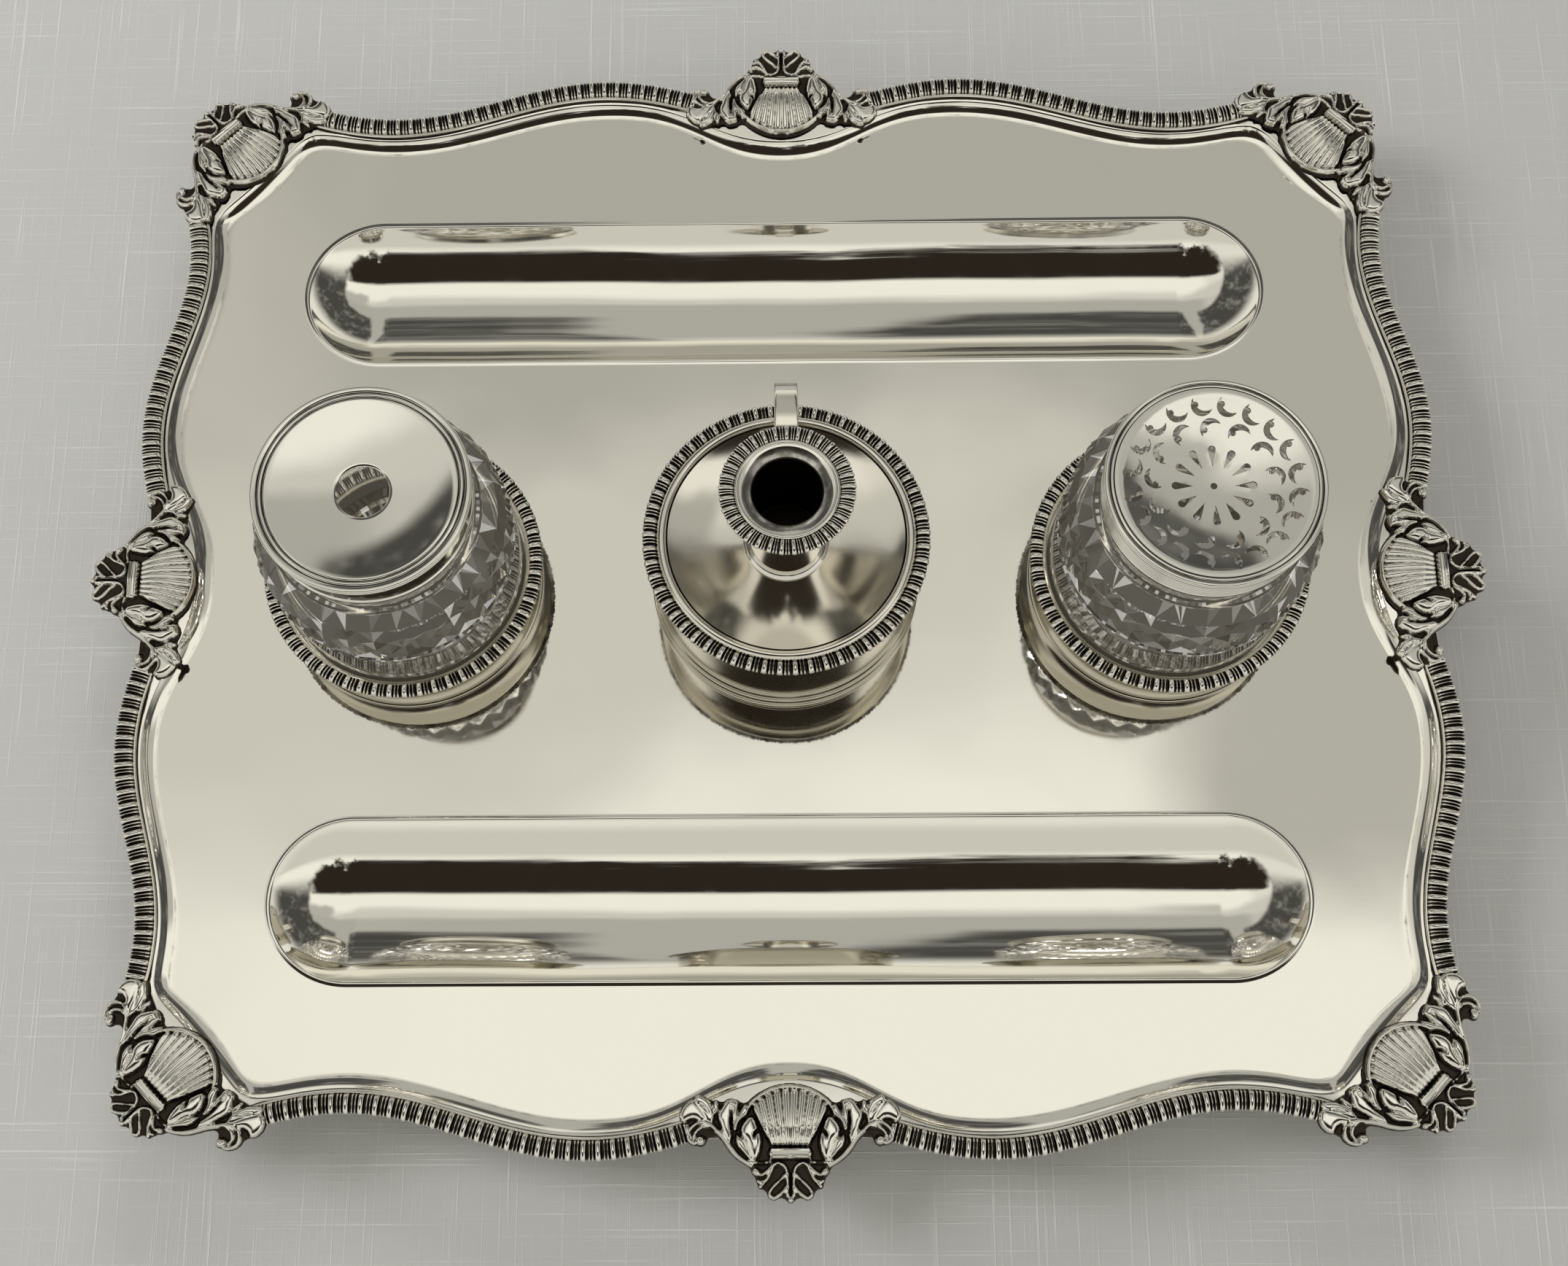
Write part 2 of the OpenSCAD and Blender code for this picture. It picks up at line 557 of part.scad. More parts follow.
// Nozzle: a flange on the socket's top, a raised ring, and a tube that holds the taper.
flange_t = 0.9;
lip_r = nozzle_r - 3.7;
lip_h = 1.9;
module nozzle_solid() {
  rotate_extrude() difference() {
    union() {
      translate([0, socket_top]) square([nozzle_r - 0.6, flange_t]);
      translate([0, socket_top]) polygon([[0, 0], [lip_r, 0], [lip_r, lip_h], [0, lip_h]]);
      translate([0, socket_top - tube_l]) square([taper_r + tube_wall, tube_l]);
    }
    translate([-1, socket_top - tube_l - 1]) square([taper_r + 1, tube_l + lip_h + 2]);
    translate([0, socket_top]) polygon([[taper_r - 0.1, 0.2], [lip_r - 1.1, lip_h + 0.01],
      [lip_r - 1.1, lip_h + 1], [0, lip_h + 1], [0, 0.2]]);
  }
}

// Named nodes
module border_back_left() { long_strip(-1, 1); }
module border_back_right() { long_strip(1, 1); }
module border_front_left() { long_strip(-1, -1); }
module border_front_right() { long_strip(1, -1); }
module border_left_back() { short_strip(-1, 1); }
module border_left_front() { short_strip(-1, -1); }
module border_right_back() { short_strip(1, 1); }
module border_right_front() { short_strip(1, -1); }
module mount_back() { translate([0, tray_w / 2 - collar_in, 0]) rotate([0, 0, 90]) mid_mount(); }
module mount_front() { translate([0, collar_in - tray_w / 2, 0]) rotate([0, 0, -90]) mid_mount(); }
module mount_left() { translate([collar_in - tray_l / 2, 0, 0]) rotate([0, 0, 180]) mid_mount(); }
module mount_right() { translate([tray_l / 2 - collar_in, 0, 0]) mid_mount(); }
module mount_back_left() { corner_mount(-1, 1); }
module mount_back_right() { corner_mount(1, 1); }
module mount_front_left() { corner_mount(-1, -1); }
module mount_front_right() { corner_mount(1, -1); }
module foot_back_left() { foot(-1, 1); }
module foot_back_right() { foot(1, 1); }
module foot_front_left() { foot(-1, -1); }
module foot_front_right() { foot(1, -1); }
module ink_holder() { holder(-1); }
module ink_holder_rim() { holder_rim(-1); }
module ink_bottle() { glass(-1); }
module ink_cap() { color("silver") translate([-bottle_x, 0, 0]) ink_cap_body(); }
module pounce_holder() { holder(1); }
module pounce_holder_rim() { holder_rim(1); }
module pounce_bottle() { glass(1); }
module pounce_cap() {
  color("silver") translate([bottle_x, 0, 0]) difference() {
    cap_body(disc_r - 1.2, 8);
    translate([0, 0, cap_seat + cap_top - disc_t]) cylinder(r = disc_r, h = 5);
  }
}
module pierced_disc() {
  color("gainsboro") translate([bottle_x, 0, 0]) intersection() {
    translate([0, 0, cap_seat - 10]) linear_extrude(10 + cap_top) pierced();
    rotate_extrude() union() {
      dished_sheet(0, dish_edge, pounce_dish, cap_seat + cap_top, disc_t);
      translate([dish_edge - 0.5, cap_seat + cap_top - disc_t]) square([disc_r - dish_edge + 0.5, disc_t]);
    }
  }
}
module wafer_box() { color("silver") box_body(); }
module cover() { color("silver") cover_solid(); }
module cover_rim() {
  color("gainsboro") gadroon_ring(pan_r + bead, cover_r, rim_h, box_top + plate, gad_pitch);
}
module socket() { color("silver") socket_solid(); }
module finger_loop() { color("silver") loop_solid(); }
module nozzle() { color("silver") nozzle_solid(); }
module nozzle_rim() {
  color("gainsboro") gadroon_ring(lip_r, nozzle_r, 1.2, socket_top + flange_t, 2.7);
}

tray();
border_back_left();
border_back_right();
border_front_left();
border_front_right();
border_left_back();
border_left_front();
border_right_back();
border_right_front();
mount_back();
mount_front();
mount_left();
mount_right();
mount_back_left();
mount_back_right();
mount_front_left();
mount_front_right();
foot_back_left();
foot_back_right();
foot_front_left();
foot_front_right();
ink_holder();
ink_holder_rim();
ink_bottle();
ink_cap();
pounce_holder();
pounce_holder_rim();
pounce_bottle();
pounce_cap();
pierced_disc();
wafer_box();
cover();
cover_rim();
socket();
finger_loop();
nozzle();
nozzle_rim();
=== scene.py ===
# %% [markdown]
# # A desk inkstand
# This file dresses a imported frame: the solids give every size and every moving body, and
# the surfaces made here give the polish, the chasing and the cut glass. It is read from
# the top, one cell at a time, and every shape is a formula worked out with numpy.

from contextlib import contextmanager

import bmesh
import bpy
import numpy as np
from mathutils import Matrix
from mathutils.geometry import delaunay_2d_cdt


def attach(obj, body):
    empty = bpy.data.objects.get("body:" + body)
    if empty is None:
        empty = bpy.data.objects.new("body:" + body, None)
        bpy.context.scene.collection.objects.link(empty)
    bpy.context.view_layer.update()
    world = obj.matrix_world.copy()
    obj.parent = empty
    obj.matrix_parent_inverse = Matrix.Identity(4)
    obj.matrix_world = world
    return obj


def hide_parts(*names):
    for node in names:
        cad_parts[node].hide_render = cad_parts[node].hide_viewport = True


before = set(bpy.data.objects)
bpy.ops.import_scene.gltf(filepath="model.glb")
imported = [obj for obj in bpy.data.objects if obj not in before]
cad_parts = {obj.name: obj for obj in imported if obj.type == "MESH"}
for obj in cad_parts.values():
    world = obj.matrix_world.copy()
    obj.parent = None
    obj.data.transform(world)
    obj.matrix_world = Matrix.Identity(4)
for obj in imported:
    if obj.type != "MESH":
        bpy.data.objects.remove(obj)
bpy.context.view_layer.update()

# %% [markdown]
# ## Sizes
# The inkstand is drawn in millimetres, since silver is measured so, and each finished
# mesh is shrunk to metres when it is laid down. These are the sizes of the frame's solids.

# %% Sizes in millimetres
MM = 0.001
TAU = 2 * np.pi
FLOOR_Z, SHEET, RIM_RISE = 19.0, 1.3, 2.9
FLANGE_Z, UNDER_Z = FLOOR_Z + RIM_RISE, FLOOR_Z - SHEET
TRAY_L, TRAY_W, TIP_REACH = 370.0, 322.5, 12.6
CREST_X, CREST_Y = TRAY_L / 2 - TIP_REACH, TRAY_W / 2 - TIP_REACH
GAD_W, GAD_H, GAD_PITCH = 5.1, 1.8, 3.7
MID_GAP, LONG_END, SHORT_END = 24.0, TRAY_L / 2 - 51, TRAY_W / 2 - 53.25
RIM_IN, BAY_LONG, BAY_SHORT, BAY_HALF = 7.5, 14.0, 12.0, 41.0
TROUGH_L, TROUGH_W, TROUGH_D, TROUGH_Y = 264.8, 41.5, 9.5, 85.8
TROUGH_R = ((TROUGH_W / 2) ** 2 + TROUGH_D**2) / (2 * TROUGH_D)
TROUGH_RUN = (TROUGH_L - TROUGH_W) / 2
BOTTLE_X = TRAY_L / 2 - 85.8
HOLDER_H, HOLDER_R, HOLDER_WALL, HOLDER_IN = 14.2, 36.3, 1.2, 31.8
HOLDER_OUT = HOLDER_IN + HOLDER_WALL
RIM_H = 1.8
GLASS_R, PLAIN_H, CUT_H, NECK_R, NECK_H, NECK_WALL = 31.3, 30.0, 19.0, 24.1, 13.8, 3.1
GLASS_BASE, MOUTH = 6.0, 1.2
CUT_Z = FLOOR_Z + PLAIN_H
NECK_Z = CUT_Z + CUT_H
CAP_SEAT = NECK_Z + NECK_H
CAP_R, CAP_TOP, CAP_RIM, SLEEVE_H, SLEEVE_IN, SLEEVE_WALL = 25.9, 1.0, 1.8, 8.2, 24.25, 0.7
DISH_T, INK_DISH, POUNCE_DISH, DISH_EDGE, DIP_R, DISC_R = 0.6, 2.4, 2.8, 22.2, 6.4, 23.55
BOX_R, BOX_H, BOX_WALL, PLATE = 33.4, 29.6, 1.2, 1.1
BOX_TOP = FLOOR_Z + BOX_H
COVER_R, PAN_R, PAN_DEPTH, BEAD = 36.1, 30.0, 3.4, 2.5
PAN_Z = BOX_TOP + PLATE + 1.4
LAND_Z = PAN_Z - PAN_DEPTH
SOCKET_R, SOCKET_H, SOCKET_IN = 9.6, 30.9, 9.0
LAND_R = SOCKET_R + 1.4
SOCKET_TOP = LAND_Z + SOCKET_H
STRAP_W, STRAP_T, LOOP_R = 5.7, 1.2, 12.8
LOOP_Y, LOOP_Z = SOCKET_R + LOOP_R - 0.5, LAND_Z + LOOP_R + 1.72
NOZZLE_R, TAPER_R, TUBE_L, TUBE_WALL, LIP_R, LIP_H, FLANGE_T = 16.2, 8.4, 18.0, 0.55, 12.5, 1.9, 0.9
print("overall height, mm:", CAP_SEAT + CAP_TOP)

# %% [markdown]
# ## The camera
# The view is from above and a little in front, down on the whole tray. The camera comes
# first, so that every later step can be looked at through it.

# %% Camera
camera = bpy.data.objects.new("view_camera", bpy.data.cameras.new("view_camera"))
bpy.context.scene.collection.objects.link(camera)
camera.data.sensor_width = 36.0
camera.data.sensor_fit = "HORIZONTAL"
camera.data.lens = 40.184
camera.data.shift_x, camera.data.shift_y = 0.02103, 0.08274
camera.data.clip_start, camera.data.clip_end = 0.02, 20
camera.matrix_world = Matrix(
    (
        (0.9999281, 0.0060199, 0.0103711, -0.0046),
        (-0.0032506, 0.9685520, -0.2487899, -0.1632),
        (-0.0115426, 0.2487383, 0.9685020, 0.4594),
        (0, 0, 0, 1),
    )
)
bpy.context.scene.camera = camera
print("camera at", [round(c, 3) for c in camera.matrix_world.translation])

# %% [markdown]
# ## Small tools
# Blender holds a mesh as lists of corners and faces. One helper lays numpy arrays into a
# mesh, another numbers the faces of a grid of points, and a third carries a profile round
# an axis. The rest of the file only has to say where the points go.

# %% Mesh helpers
def grid_faces(rows, cols, wrap_rows=False, wrap_cols=False):
    """Four-cornered faces of a grid whose points are numbered row by row."""
    r = np.arange(rows if wrap_rows else rows - 1)
    c = np.arange(cols if wrap_cols else cols - 1)
    r, c = [a.ravel() for a in np.meshgrid(r, c, indexing="ij")]
    r1, c1 = (r + 1) % rows, (c + 1) % cols
    return np.stack([r * cols + c, r * cols + c1, r1 * cols + c1, r1 * cols + c], 1)


def mark(mesh, name, domain, values):
    """Keeps one number for each point or face, which a shader can read by its name."""
    values = np.asarray(values, np.float32).ravel()
    mesh.attributes.new(name, "FLOAT", domain).data.foreach_set("value", values)


def lay(name, points, faces, recess=None, smooth=True, angle=None):
    """Puts points (mm) and faces into a new mesh object. faces is one array or a list of
    arrays; recess is a number per point, 1 in a hollow, kept as a vertex attribute."""
    mesh = bpy.data.meshes.new(name)
    groups = faces if isinstance(faces, list) else [faces]
    corners = np.concatenate([g.ravel() for g in groups]).astype(np.int32)
    sizes = np.concatenate([np.full(len(g), g.shape[1], np.int32) for g in groups])
    points = np.asarray(points, float).reshape(-1, 3)
    mesh.vertices.add(len(points))
    mesh.vertices.foreach_set("co", (points * MM).astype(np.float32).ravel())
    mesh.loops.add(len(corners))
    mesh.loops.foreach_set("vertex_index", corners)
    mesh.polygons.add(len(sizes))
    mesh.polygons.foreach_set("loop_start", (np.cumsum(sizes) - sizes).astype(np.int32))
    mesh.polygons.foreach_set("use_smooth", np.full(len(sizes), smooth))
    mesh.update(calc_edges=True)
    mesh.validate()
    if recess is not None:
        mark(mesh, "recess", "POINT", np.clip(recess, 0, 1))
    if angle is not None:
        mesh.set_sharp_from_angle(angle=np.radians(angle))
    made = bpy.data.objects.new(name, mesh)
    bpy.context.scene.collection.objects.link(made)
    return made


@contextmanager
def editing(piece):
    """Opens a piece's mesh for edits by Blender's own tools, and puts it back."""
    edit = bmesh.new()
    edit.from_mesh(piece.data)
    yield edit
    edit.to_mesh(piece.data)
    edit.free()


made_pieces = []


def finish_piece(piece, body, material, solid):
    """Gives a piece its finish and its moving body, and hides the solid that it stands for."""
    piece.data.materials.append(material)
    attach(piece, body)
    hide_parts(solid)
    made_pieces.append(piece.name)


def rounded(corners, steps=4, hold=0.35):
    """A profile with its corners rounded. Each corner is (r, z, radius): the arc runs
    between the two points that lie "radius" back along both sides, and a point a little
    further back on each side keeps the flat part flat when it is shaded."""
    pts = np.array([c[:2] for c in corners], float)
    out = [pts[:1]]
    t = np.linspace(0, 1, steps + 1)[:, None]
    for before, here, after, corner in zip(pts, pts[1:], pts[2:], corners[1:]):
        radius = corner[2]
        if radius <= 0:
            out.append(here[None])
            continue
        a, b = before - here, after - here
        la, lb = np.hypot(*a), np.hypot(*b)
        back = min(radius, 0.45 * la, 0.45 * lb)
        p0, p2 = here + a / la * back, here + b / lb * back
        curve = (1 - t) ** 2 * p0 + 2 * t * (1 - t) * here + t**2 * p2
        hold_a, hold_b = min(hold, 0.3 * (la - back)), min(hold, 0.3 * (lb - back))
        out += [[p0 + a / la * hold_a], curve, [p2 + b / lb * hold_b]]
    return np.concatenate(out + [pts[-1:]])


def arc(r, z, radius, start, end, steps=10):
    """Points of a circle's arc in a profile, angles in degrees from the +r direction."""
    a = np.radians(np.linspace(start, end, steps + 1))
    return np.stack([r + radius * np.cos(a), z + radius * np.sin(a)], 1)


def ring(count):
    """Unit vectors all round, anticlockwise from +x."""
    a = np.arange(count) * TAU / count
    return np.stack([np.cos(a), np.sin(a)], 1)


def ring_rows(profile, sides):
    """Rows of points round the upright axis, one row for each (r, z) of a profile."""
    xy = profile[:, 0, None, None] * ring(sides)
    return np.concatenate([xy, np.broadcast_to(profile[:, 1, None, None], (len(profile), sides, 1))], -1)


def turned(name, profile, centre=(0, 0), sides=160, closed=False, recess=None):
    """A turned piece: the profile (r, z) is carried round the upright line through
    "centre". An open profile starts and ends on that line, and its poles are closed."""
    profile = np.asarray(profile, float)
    shade = None if recess is None else np.asarray(recess, float)
    section = profile if closed else profile[1:-1]
    pts = ring_rows(section, sides).reshape(-1, 3)
    faces = [grid_faces(len(section), sides, wrap_rows=closed, wrap_cols=True)]
    dark = None if shade is None else np.repeat(shade if closed else shade[1:-1], sides)
    if not closed:
        k, last = np.arange(sides), (len(section) - 1) * sides
        k1, pole = (k + 1) % sides, np.full(sides, len(pts))
        faces += [np.stack([pole, k1, k], 1), np.stack([pole + 1, last + k, last + k1], 1)]
        pts = np.concatenate([pts, [[0, 0, profile[0, 1]], [0, 0, profile[-1, 1]]]])
        dark = None if shade is None else np.concatenate([dark, shade[[0, -1]]])
    return lay(name, pts + [*centre, 0], faces, dark, angle=50)


def half_round(x):
    """The height of a half round: 1 at x = 0, falling as a circle does to 0 at x = 1."""
    return np.sqrt(np.clip(1 - x**2, 0, 1))


print("helpers ready: grid_faces, lay, rounded, arc, turned")

# %% [markdown]
# ## Finishes
# Old silver is a mirror first: its colour comes from what stands round it. Three small
# node groups make it read as real: slow waves left by the hammer, with a faint haze of
# fine scratches; black tarnish that polish never reaches in the hollows, which in the
# deepest hollows is painted shade as well; and a few specks.
# A signal is a value on its way through a node tree, so a shader reads like a formula.

# %% Node helpers
def feed(slot, value):
    """Sets an input to a number or a colour, or links a signal to it."""
    if isinstance(value, Signal):
        value.tree.links.new(value.socket, slot)
    else:
        slot.default_value = value


def node(tree, kind, values=None, **settings):
    """Adds a node, sets its properties and feeds its inputs."""
    made = tree.nodes.new(kind)
    for key, value in settings.items():
        setattr(made, key, value)
    for key, value in (values or {}).items():
        feed(made.inputs[key], value)
    return made


class Signal:
    """A value inside a shader tree: sums and products of signals make Math nodes."""

    def __init__(self, made, output=0):
        self.tree, self.socket = made.id_data, made.outputs[output]

    def math(self, operation, *others):
        made = node(self.tree, "ShaderNodeMath", operation=operation)
        for slot, value in zip(made.inputs, (self, *others)):
            feed(slot, value)
        return Signal(made)

    def __add__(self, other):
        return self.math("ADD", other)

    def __sub__(self, other):
        return self.math("SUBTRACT", other)

    def __mul__(self, other):
        return self.math("MULTIPLY", other)

    def __truediv__(self, other):
        return self.math("DIVIDE", other)

    def __abs__(self):
        return self.math("ABSOLUTE")


def new_group(name, inputs, outputs):
    """A node group with number inputs and outputs: gives it, its input signals and the
    slots that its outputs are fed to."""
    group = bpy.data.node_groups.new(name, "ShaderNodeTree")
    for label, value in inputs.items():
        group.interface.new_socket(label, in_out="INPUT", socket_type="NodeSocketFloat").default_value = value
    for label in outputs:
        group.interface.new_socket(label, in_out="OUTPUT", socket_type="NodeSocketFloat")
    given = group.nodes.new("NodeGroupInput")
    return group, {label: Signal(given, label) for label in inputs}, group.nodes.new("NodeGroupOutput").inputs


def new_material(name):
    """A material, its tree and its main shader."""
    material = bpy.data.materials.new(name)
    material.use_nodes = True
    return material, material.node_tree, material.node_tree.nodes["Principled BSDF"]


def position(tree):
    """The place of the shaded spot on its object, in metres."""
    return Signal(node(tree, "ShaderNodeTexCoord"), "Object")


def attribute(tree, name):
    """A number that the mesh carries."""
    return Signal(node(tree, "ShaderNodeAttribute", attribute_name=name), "Fac")


def stretched(where, scale, rotation=(0, 0, 0)):
    """The place, turned and stretched."""
    values = {"Vector": where, "Rotation": rotation, "Scale": scale}
    return Signal(node(where.tree, "ShaderNodeMapping", values))


def noise(where, scale, detail, rough=0.5, distortion=0.0):
    """Soft noise round 0.5."""
    values = {"Vector": where, "Scale": scale, "Detail": detail, "Roughness": rough, "Distortion": distortion}
    return Signal(node(where.tree, "ShaderNodeTexNoise", values), "Fac")


def ease(value, low, high, to_low=0.0, to_high=1.0):
    """A smooth step of a signal between two limits."""
    values = {"Value": value, "From Min": low, "From Max": high, "To Min": to_low, "To Max": to_high}
    return Signal(node(value.tree, "ShaderNodeMapRange", values, interpolation_type="SMOOTHSTEP"), "Result")


def blend(mask, low, high, kind="RGBA"):
    """The low colour or number where the mask is 0, and the high one where it is 1."""
    values = {"Factor": mask, "A": low, "B": high}
    return Signal(node(mask.tree, "ShaderNodeMix", values, data_type=kind), "Result")


def bump(height, distance, strength=1.0):
    """Shading as if the surface rose by height times distance."""
    values = {"Strength": strength, "Distance": distance, "Height": height}
    return Signal(node(height.tree, "ShaderNodeBump", values), "Normal")


# %% The effects that several finishes share
waves, given, slots = new_group("hammer_waves", {"Size": 14.0, "Scratch": 1.0}, ("Height", "Haze"))
where = position(waves)
scratches = noise(stretched(where, (0.06, 1.0, 1.0), (0, 0, 0.5)), 900.0, 3.0, 0.7) * 0.05 * given["Scratch"]
feed(slots["Height"], noise(where, given["Size"], 1.5, 0.45) + scratches)
feed(slots["Haze"], ease(noise(where, 60.0, 5.0, 0.65, 0.6), 0.42, 0.72))

# the hollows' mask: black tarnish, and painted shade where a hollow is deep
oxide_and_shade, given, slots = new_group("oxide_and_shade_in_hollows", {"Reach": 0.5, "Patch Size": 220.0}, ("Mask",))
uneven = (noise(position(oxide_and_shade), given["Patch Size"], 4.0, 0.6) - 0.5) * 0.5
feed(slots["Mask"], ease(attribute(oxide_and_shade, "recess") + uneven - given["Reach"], -0.12, 0.22))

specks, given, slots = new_group("tarnish_specks", {"Spread": 22.0, "Size": 0.02}, ("Mask",))
where = position(specks)
cells = node(specks, "ShaderNodeTexVoronoi", {"Vector": where, "Scale": given["Spread"], "Randomness": 1.0})
edge = Signal(cells, "Distance") + noise(where, 1500.0, 2.0) * 0.03
number = Signal(node(specks, "ShaderNodeSeparateColor", {"Color": Signal(cells, "Color")}))
feed(slots["Mask"], (edge - 0.012).math("LESS_THAN", given["Size"]) * number.math("GREATER_THAN", 0.72))
print("node groups:", [g.name for g in bpy.data.node_groups])


# %% [markdown]
# ## Silver
# One function makes each silver finish from its own values: the colour and dullness of
# the metal, the width and depth of its waves, and how specked and scratched it is.

# %% Silver finishes
# the black of tarnish in the hollows, which also paints shade in the deepest of them
OXIDE_AND_SHADE = (0.050, 0.040, 0.031, 1)


def silver(name, colour, rough, wave_size, wave_depth, speck=0.0, scratch=1.0):
    """Polished silver: a metal whose colour darkens in the hollows, for black tarnish and for painted shade.
    """
    material, tree, shader = new_material(name)
    values = {"Size": wave_size, "Scratch": scratch * 0.02 / wave_depth}
    marks = node(tree, "ShaderNodeGroup", values, node_tree=waves)
    mask = Signal(node(tree, "ShaderNodeGroup", node_tree=oxide_and_shade), "Mask")
    if speck:
        spots = node(tree, "ShaderNodeGroup", {"Size": speck}, node_tree=specks)
        mask = mask.math("MAXIMUM", Signal(spots, "Mask"))
    feed(shader.inputs["Metallic"], 1.0)
    feed(shader.inputs["Base Color"], blend(mask, (*colour, 1), OXIDE_AND_SHADE))
    feed(shader.inputs["Roughness"], Signal(marks, "Haze") * 0.05 + rough + mask * 0.3)
    feed(shader.inputs["Normal"], bump(Signal(marks, "Height"), wave_depth * MM))
    return material


sheet_silver = silver("sheet_silver", (0.87, 0.85, 0.79), 0.04, 13.0, 1.6, speck=0.008)
turned_silver = silver("turned_silver", (0.85, 0.83, 0.775), 0.05, 30.0, 0.03)
worn_silver = silver("worn_silver", (0.80, 0.77, 0.70), 0.09, 30.0, 0.3, scratch=3.0)
wall_silver = silver("wall_silver", (0.53, 0.50, 0.42), 0.14, 30.0, 0.2)
cast_silver = silver("cast_silver", (0.86, 0.84, 0.785), 0.10, 120.0, 0.01, scratch=2.0)
pierced_silver = silver("pierced_silver", (0.83, 0.81, 0.76), 0.09, 45.0, 0.03)
print("silver finishes ready")

# %% [markdown]
# ## Cut glass
# The bottles are clear lead glass. Glass needs almost nothing but its index: what makes it
# read is its own wall, its flat cuts and the metal seen through it. A faint grey and a
# slow ripple stand for old, hand-polished glass. All the glass glows faintly, and the
# facets marked "glint" glow more: these are painted glints, an emission that stands in
# for a lamp thrown back.

# %% Glass finish
cut_glass, tree, shader = new_material("cut_glass")
for key, value in (("Metallic", 0.0), ("Transmission Weight", 0.985), ("IOR", 1.58), ("Roughness", 0.0)):
    feed(shader.inputs[key], value)
ripple = noise(position(tree), 70.0, 1.0)
feed(shader.inputs["Base Color"], blend(ripple, (0.86, 0.84, 0.795, 1), (0.93, 0.915, 0.88, 1)))
feed(shader.inputs["Normal"], bump(ripple, 0.00002))
# painted glints: faces marked "glint" glow by emission, and all the other glass glows faintly
glow = blend(attribute(tree, "glint"), (0.012, 0.011, 0.009, 1), (0.80, 0.79, 0.75, 1))
feed(shader.inputs["Emission Color"], glow)
feed(shader.inputs["Emission Strength"], 1.0)
print("glass ready")

# %% [markdown]
# ## The tray's lines
# The silversmith scribes one wavy line for the border and another for the foot of the
# hollow rim, which swings inward round each shell. Both are drawn for one quarter of the
# tray and mirrored into the other three.

# %% The border's line and the foot of the hollow rim
def wave(t, crest, dip, top, amp):
    """A cosine wave that is highest at "crest" and lowest at "dip"."""
    return top - amp + amp * np.cos(np.pi * (t - crest) / (dip - crest))


def long_y(x):
    return wave(x, 50, TRAY_L / 2 - 75, CREST_Y, 5.8)


def short_x(y):
    return wave(y, 44, TRAY_W / 2 - 67.25, CREST_X, 4.6)


def swing(t):
    """1 at a middle shell, easing to 0 at the end of its bay."""
    return 1 - ((1 - np.cos(np.pi * np.minimum(t, BAY_HALF) / BAY_HALF)) / 2) ** 1.25


def mid_line(t, line, top):
    """Levels the border's line across a bay."""
    return np.where(t > BAY_HALF, line(t), top + (line(BAY_HALF) - top) * np.minimum(1, t / BAY_HALF) ** 2)


def long_foot(x):
    return np.stack([x, mid_line(x, long_y, CREST_Y) - RIM_IN - BAY_LONG * swing(x)], -1)


def short_foot(y):
    return np.stack([mid_line(y, short_x, CREST_X) - RIM_IN - BAY_SHORT * swing(y), y], -1)


def bow(a, b, t, sag):
    """A bowed line from a to b."""
    a, b, t = np.asarray(a), np.asarray(b), np.asarray(t)[:, None]
    d = b - a
    return a + d * t + sag * np.sin(np.pi * t) * np.array([d[1], -d[0]]) / np.hypot(*d)


def all_round(q):
    """A quarter line, from +x to +y, carried round all four quarters."""
    return np.concatenate([q, q[-2::-1] * [-1, 1], q[1:] * [-1, -1], q[-2:0:-1] * [1, -1]])


EDGE_OUT, MID_EDGE = GAD_W / 2 - 0.6, 1.5
t_bay, t_run, t_bow = [np.linspace(0, 1, steps, endpoint=False) for steps in (24, 60, 32)]
ys, xs = MID_GAP + (SHORT_END - MID_GAP) * t_run, LONG_END - (LONG_END - MID_GAP) * t_run
edge_quarter = np.concatenate([
    np.stack([short_x(MID_GAP) + EDGE_OUT - MID_EDGE * (1 - t_bay), MID_GAP * t_bay], -1),
    np.stack([short_x(ys) + EDGE_OUT, ys], -1),
    bow([short_x(SHORT_END) + EDGE_OUT, SHORT_END], [LONG_END, long_y(LONG_END) + EDGE_OUT], t_bow, 6),
    np.stack([xs, long_y(xs) + EDGE_OUT], -1),
    np.stack([MID_GAP * (1 - t_bay), long_y(MID_GAP) + EDGE_OUT - MID_EDGE * t_bay], -1),
    [[0, long_y(MID_GAP) + EDGE_OUT - MID_EDGE]]])
foot_quarter = np.concatenate([
    short_foot(MID_GAP * t_bay), short_foot(ys),
    bow(short_foot(SHORT_END), long_foot(LONG_END), t_bow, -2.3),
    long_foot(xs), long_foot(MID_GAP * (1 - t_bay)), long_foot(np.zeros(1))])
edge_line, foot_line = all_round(edge_quarter), all_round(foot_quarter)
n_round = len(edge_line)


def soften(line, reach):
    """Smooths a closed line by averaging each point with its neighbours."""
    kernel = np.hanning(2 * reach + 3)[1:-1]
    kernel /= kernel.sum()
    return sum(w * np.roll(line, k - reach, 0) for k, w in enumerate(kernel))


foot_line = soften(foot_line, 7)
print("points round the tray:", n_round)

# %% [markdown]
# ## The tray
# The tray is one sheet, raised over a stake: a flat floor, two pen troughs sunk into it,
# a hollow rim, and a flange that carries the border. It is made as rows of points that run
# right round, from the floor, up the hollow, over a small arris and a bead, across the
# flange and back underneath. A flat floor fills the middle, leaving the troughs' openings.

# %% Rim rows
HOLLOW_Z, HOLLOW_FROM, HOLLOW_TO = FLOOR_Z + 0.11, np.radians(13), np.radians(43)
BEAD_R, BEAD_H = 0.42, 0.5
to_edge = edge_line - foot_line
span = np.hypot(*to_edge.T)
outward = to_edge / span[:, None]
calm = soften(outward, 16)
calm /= np.hypot(*calm.T)[:, None]

# the bead runs only beside the strips, and fades out under the four middle mounts
from_mount = (np.arange(n_round) + n_round / 8) % (n_round / 4) - n_round / 8
on_strip = 1 - np.exp(-((from_mount / 26.0) ** 6))
bead_at = span - (GAD_W / 2 + EDGE_OUT) - 0.45

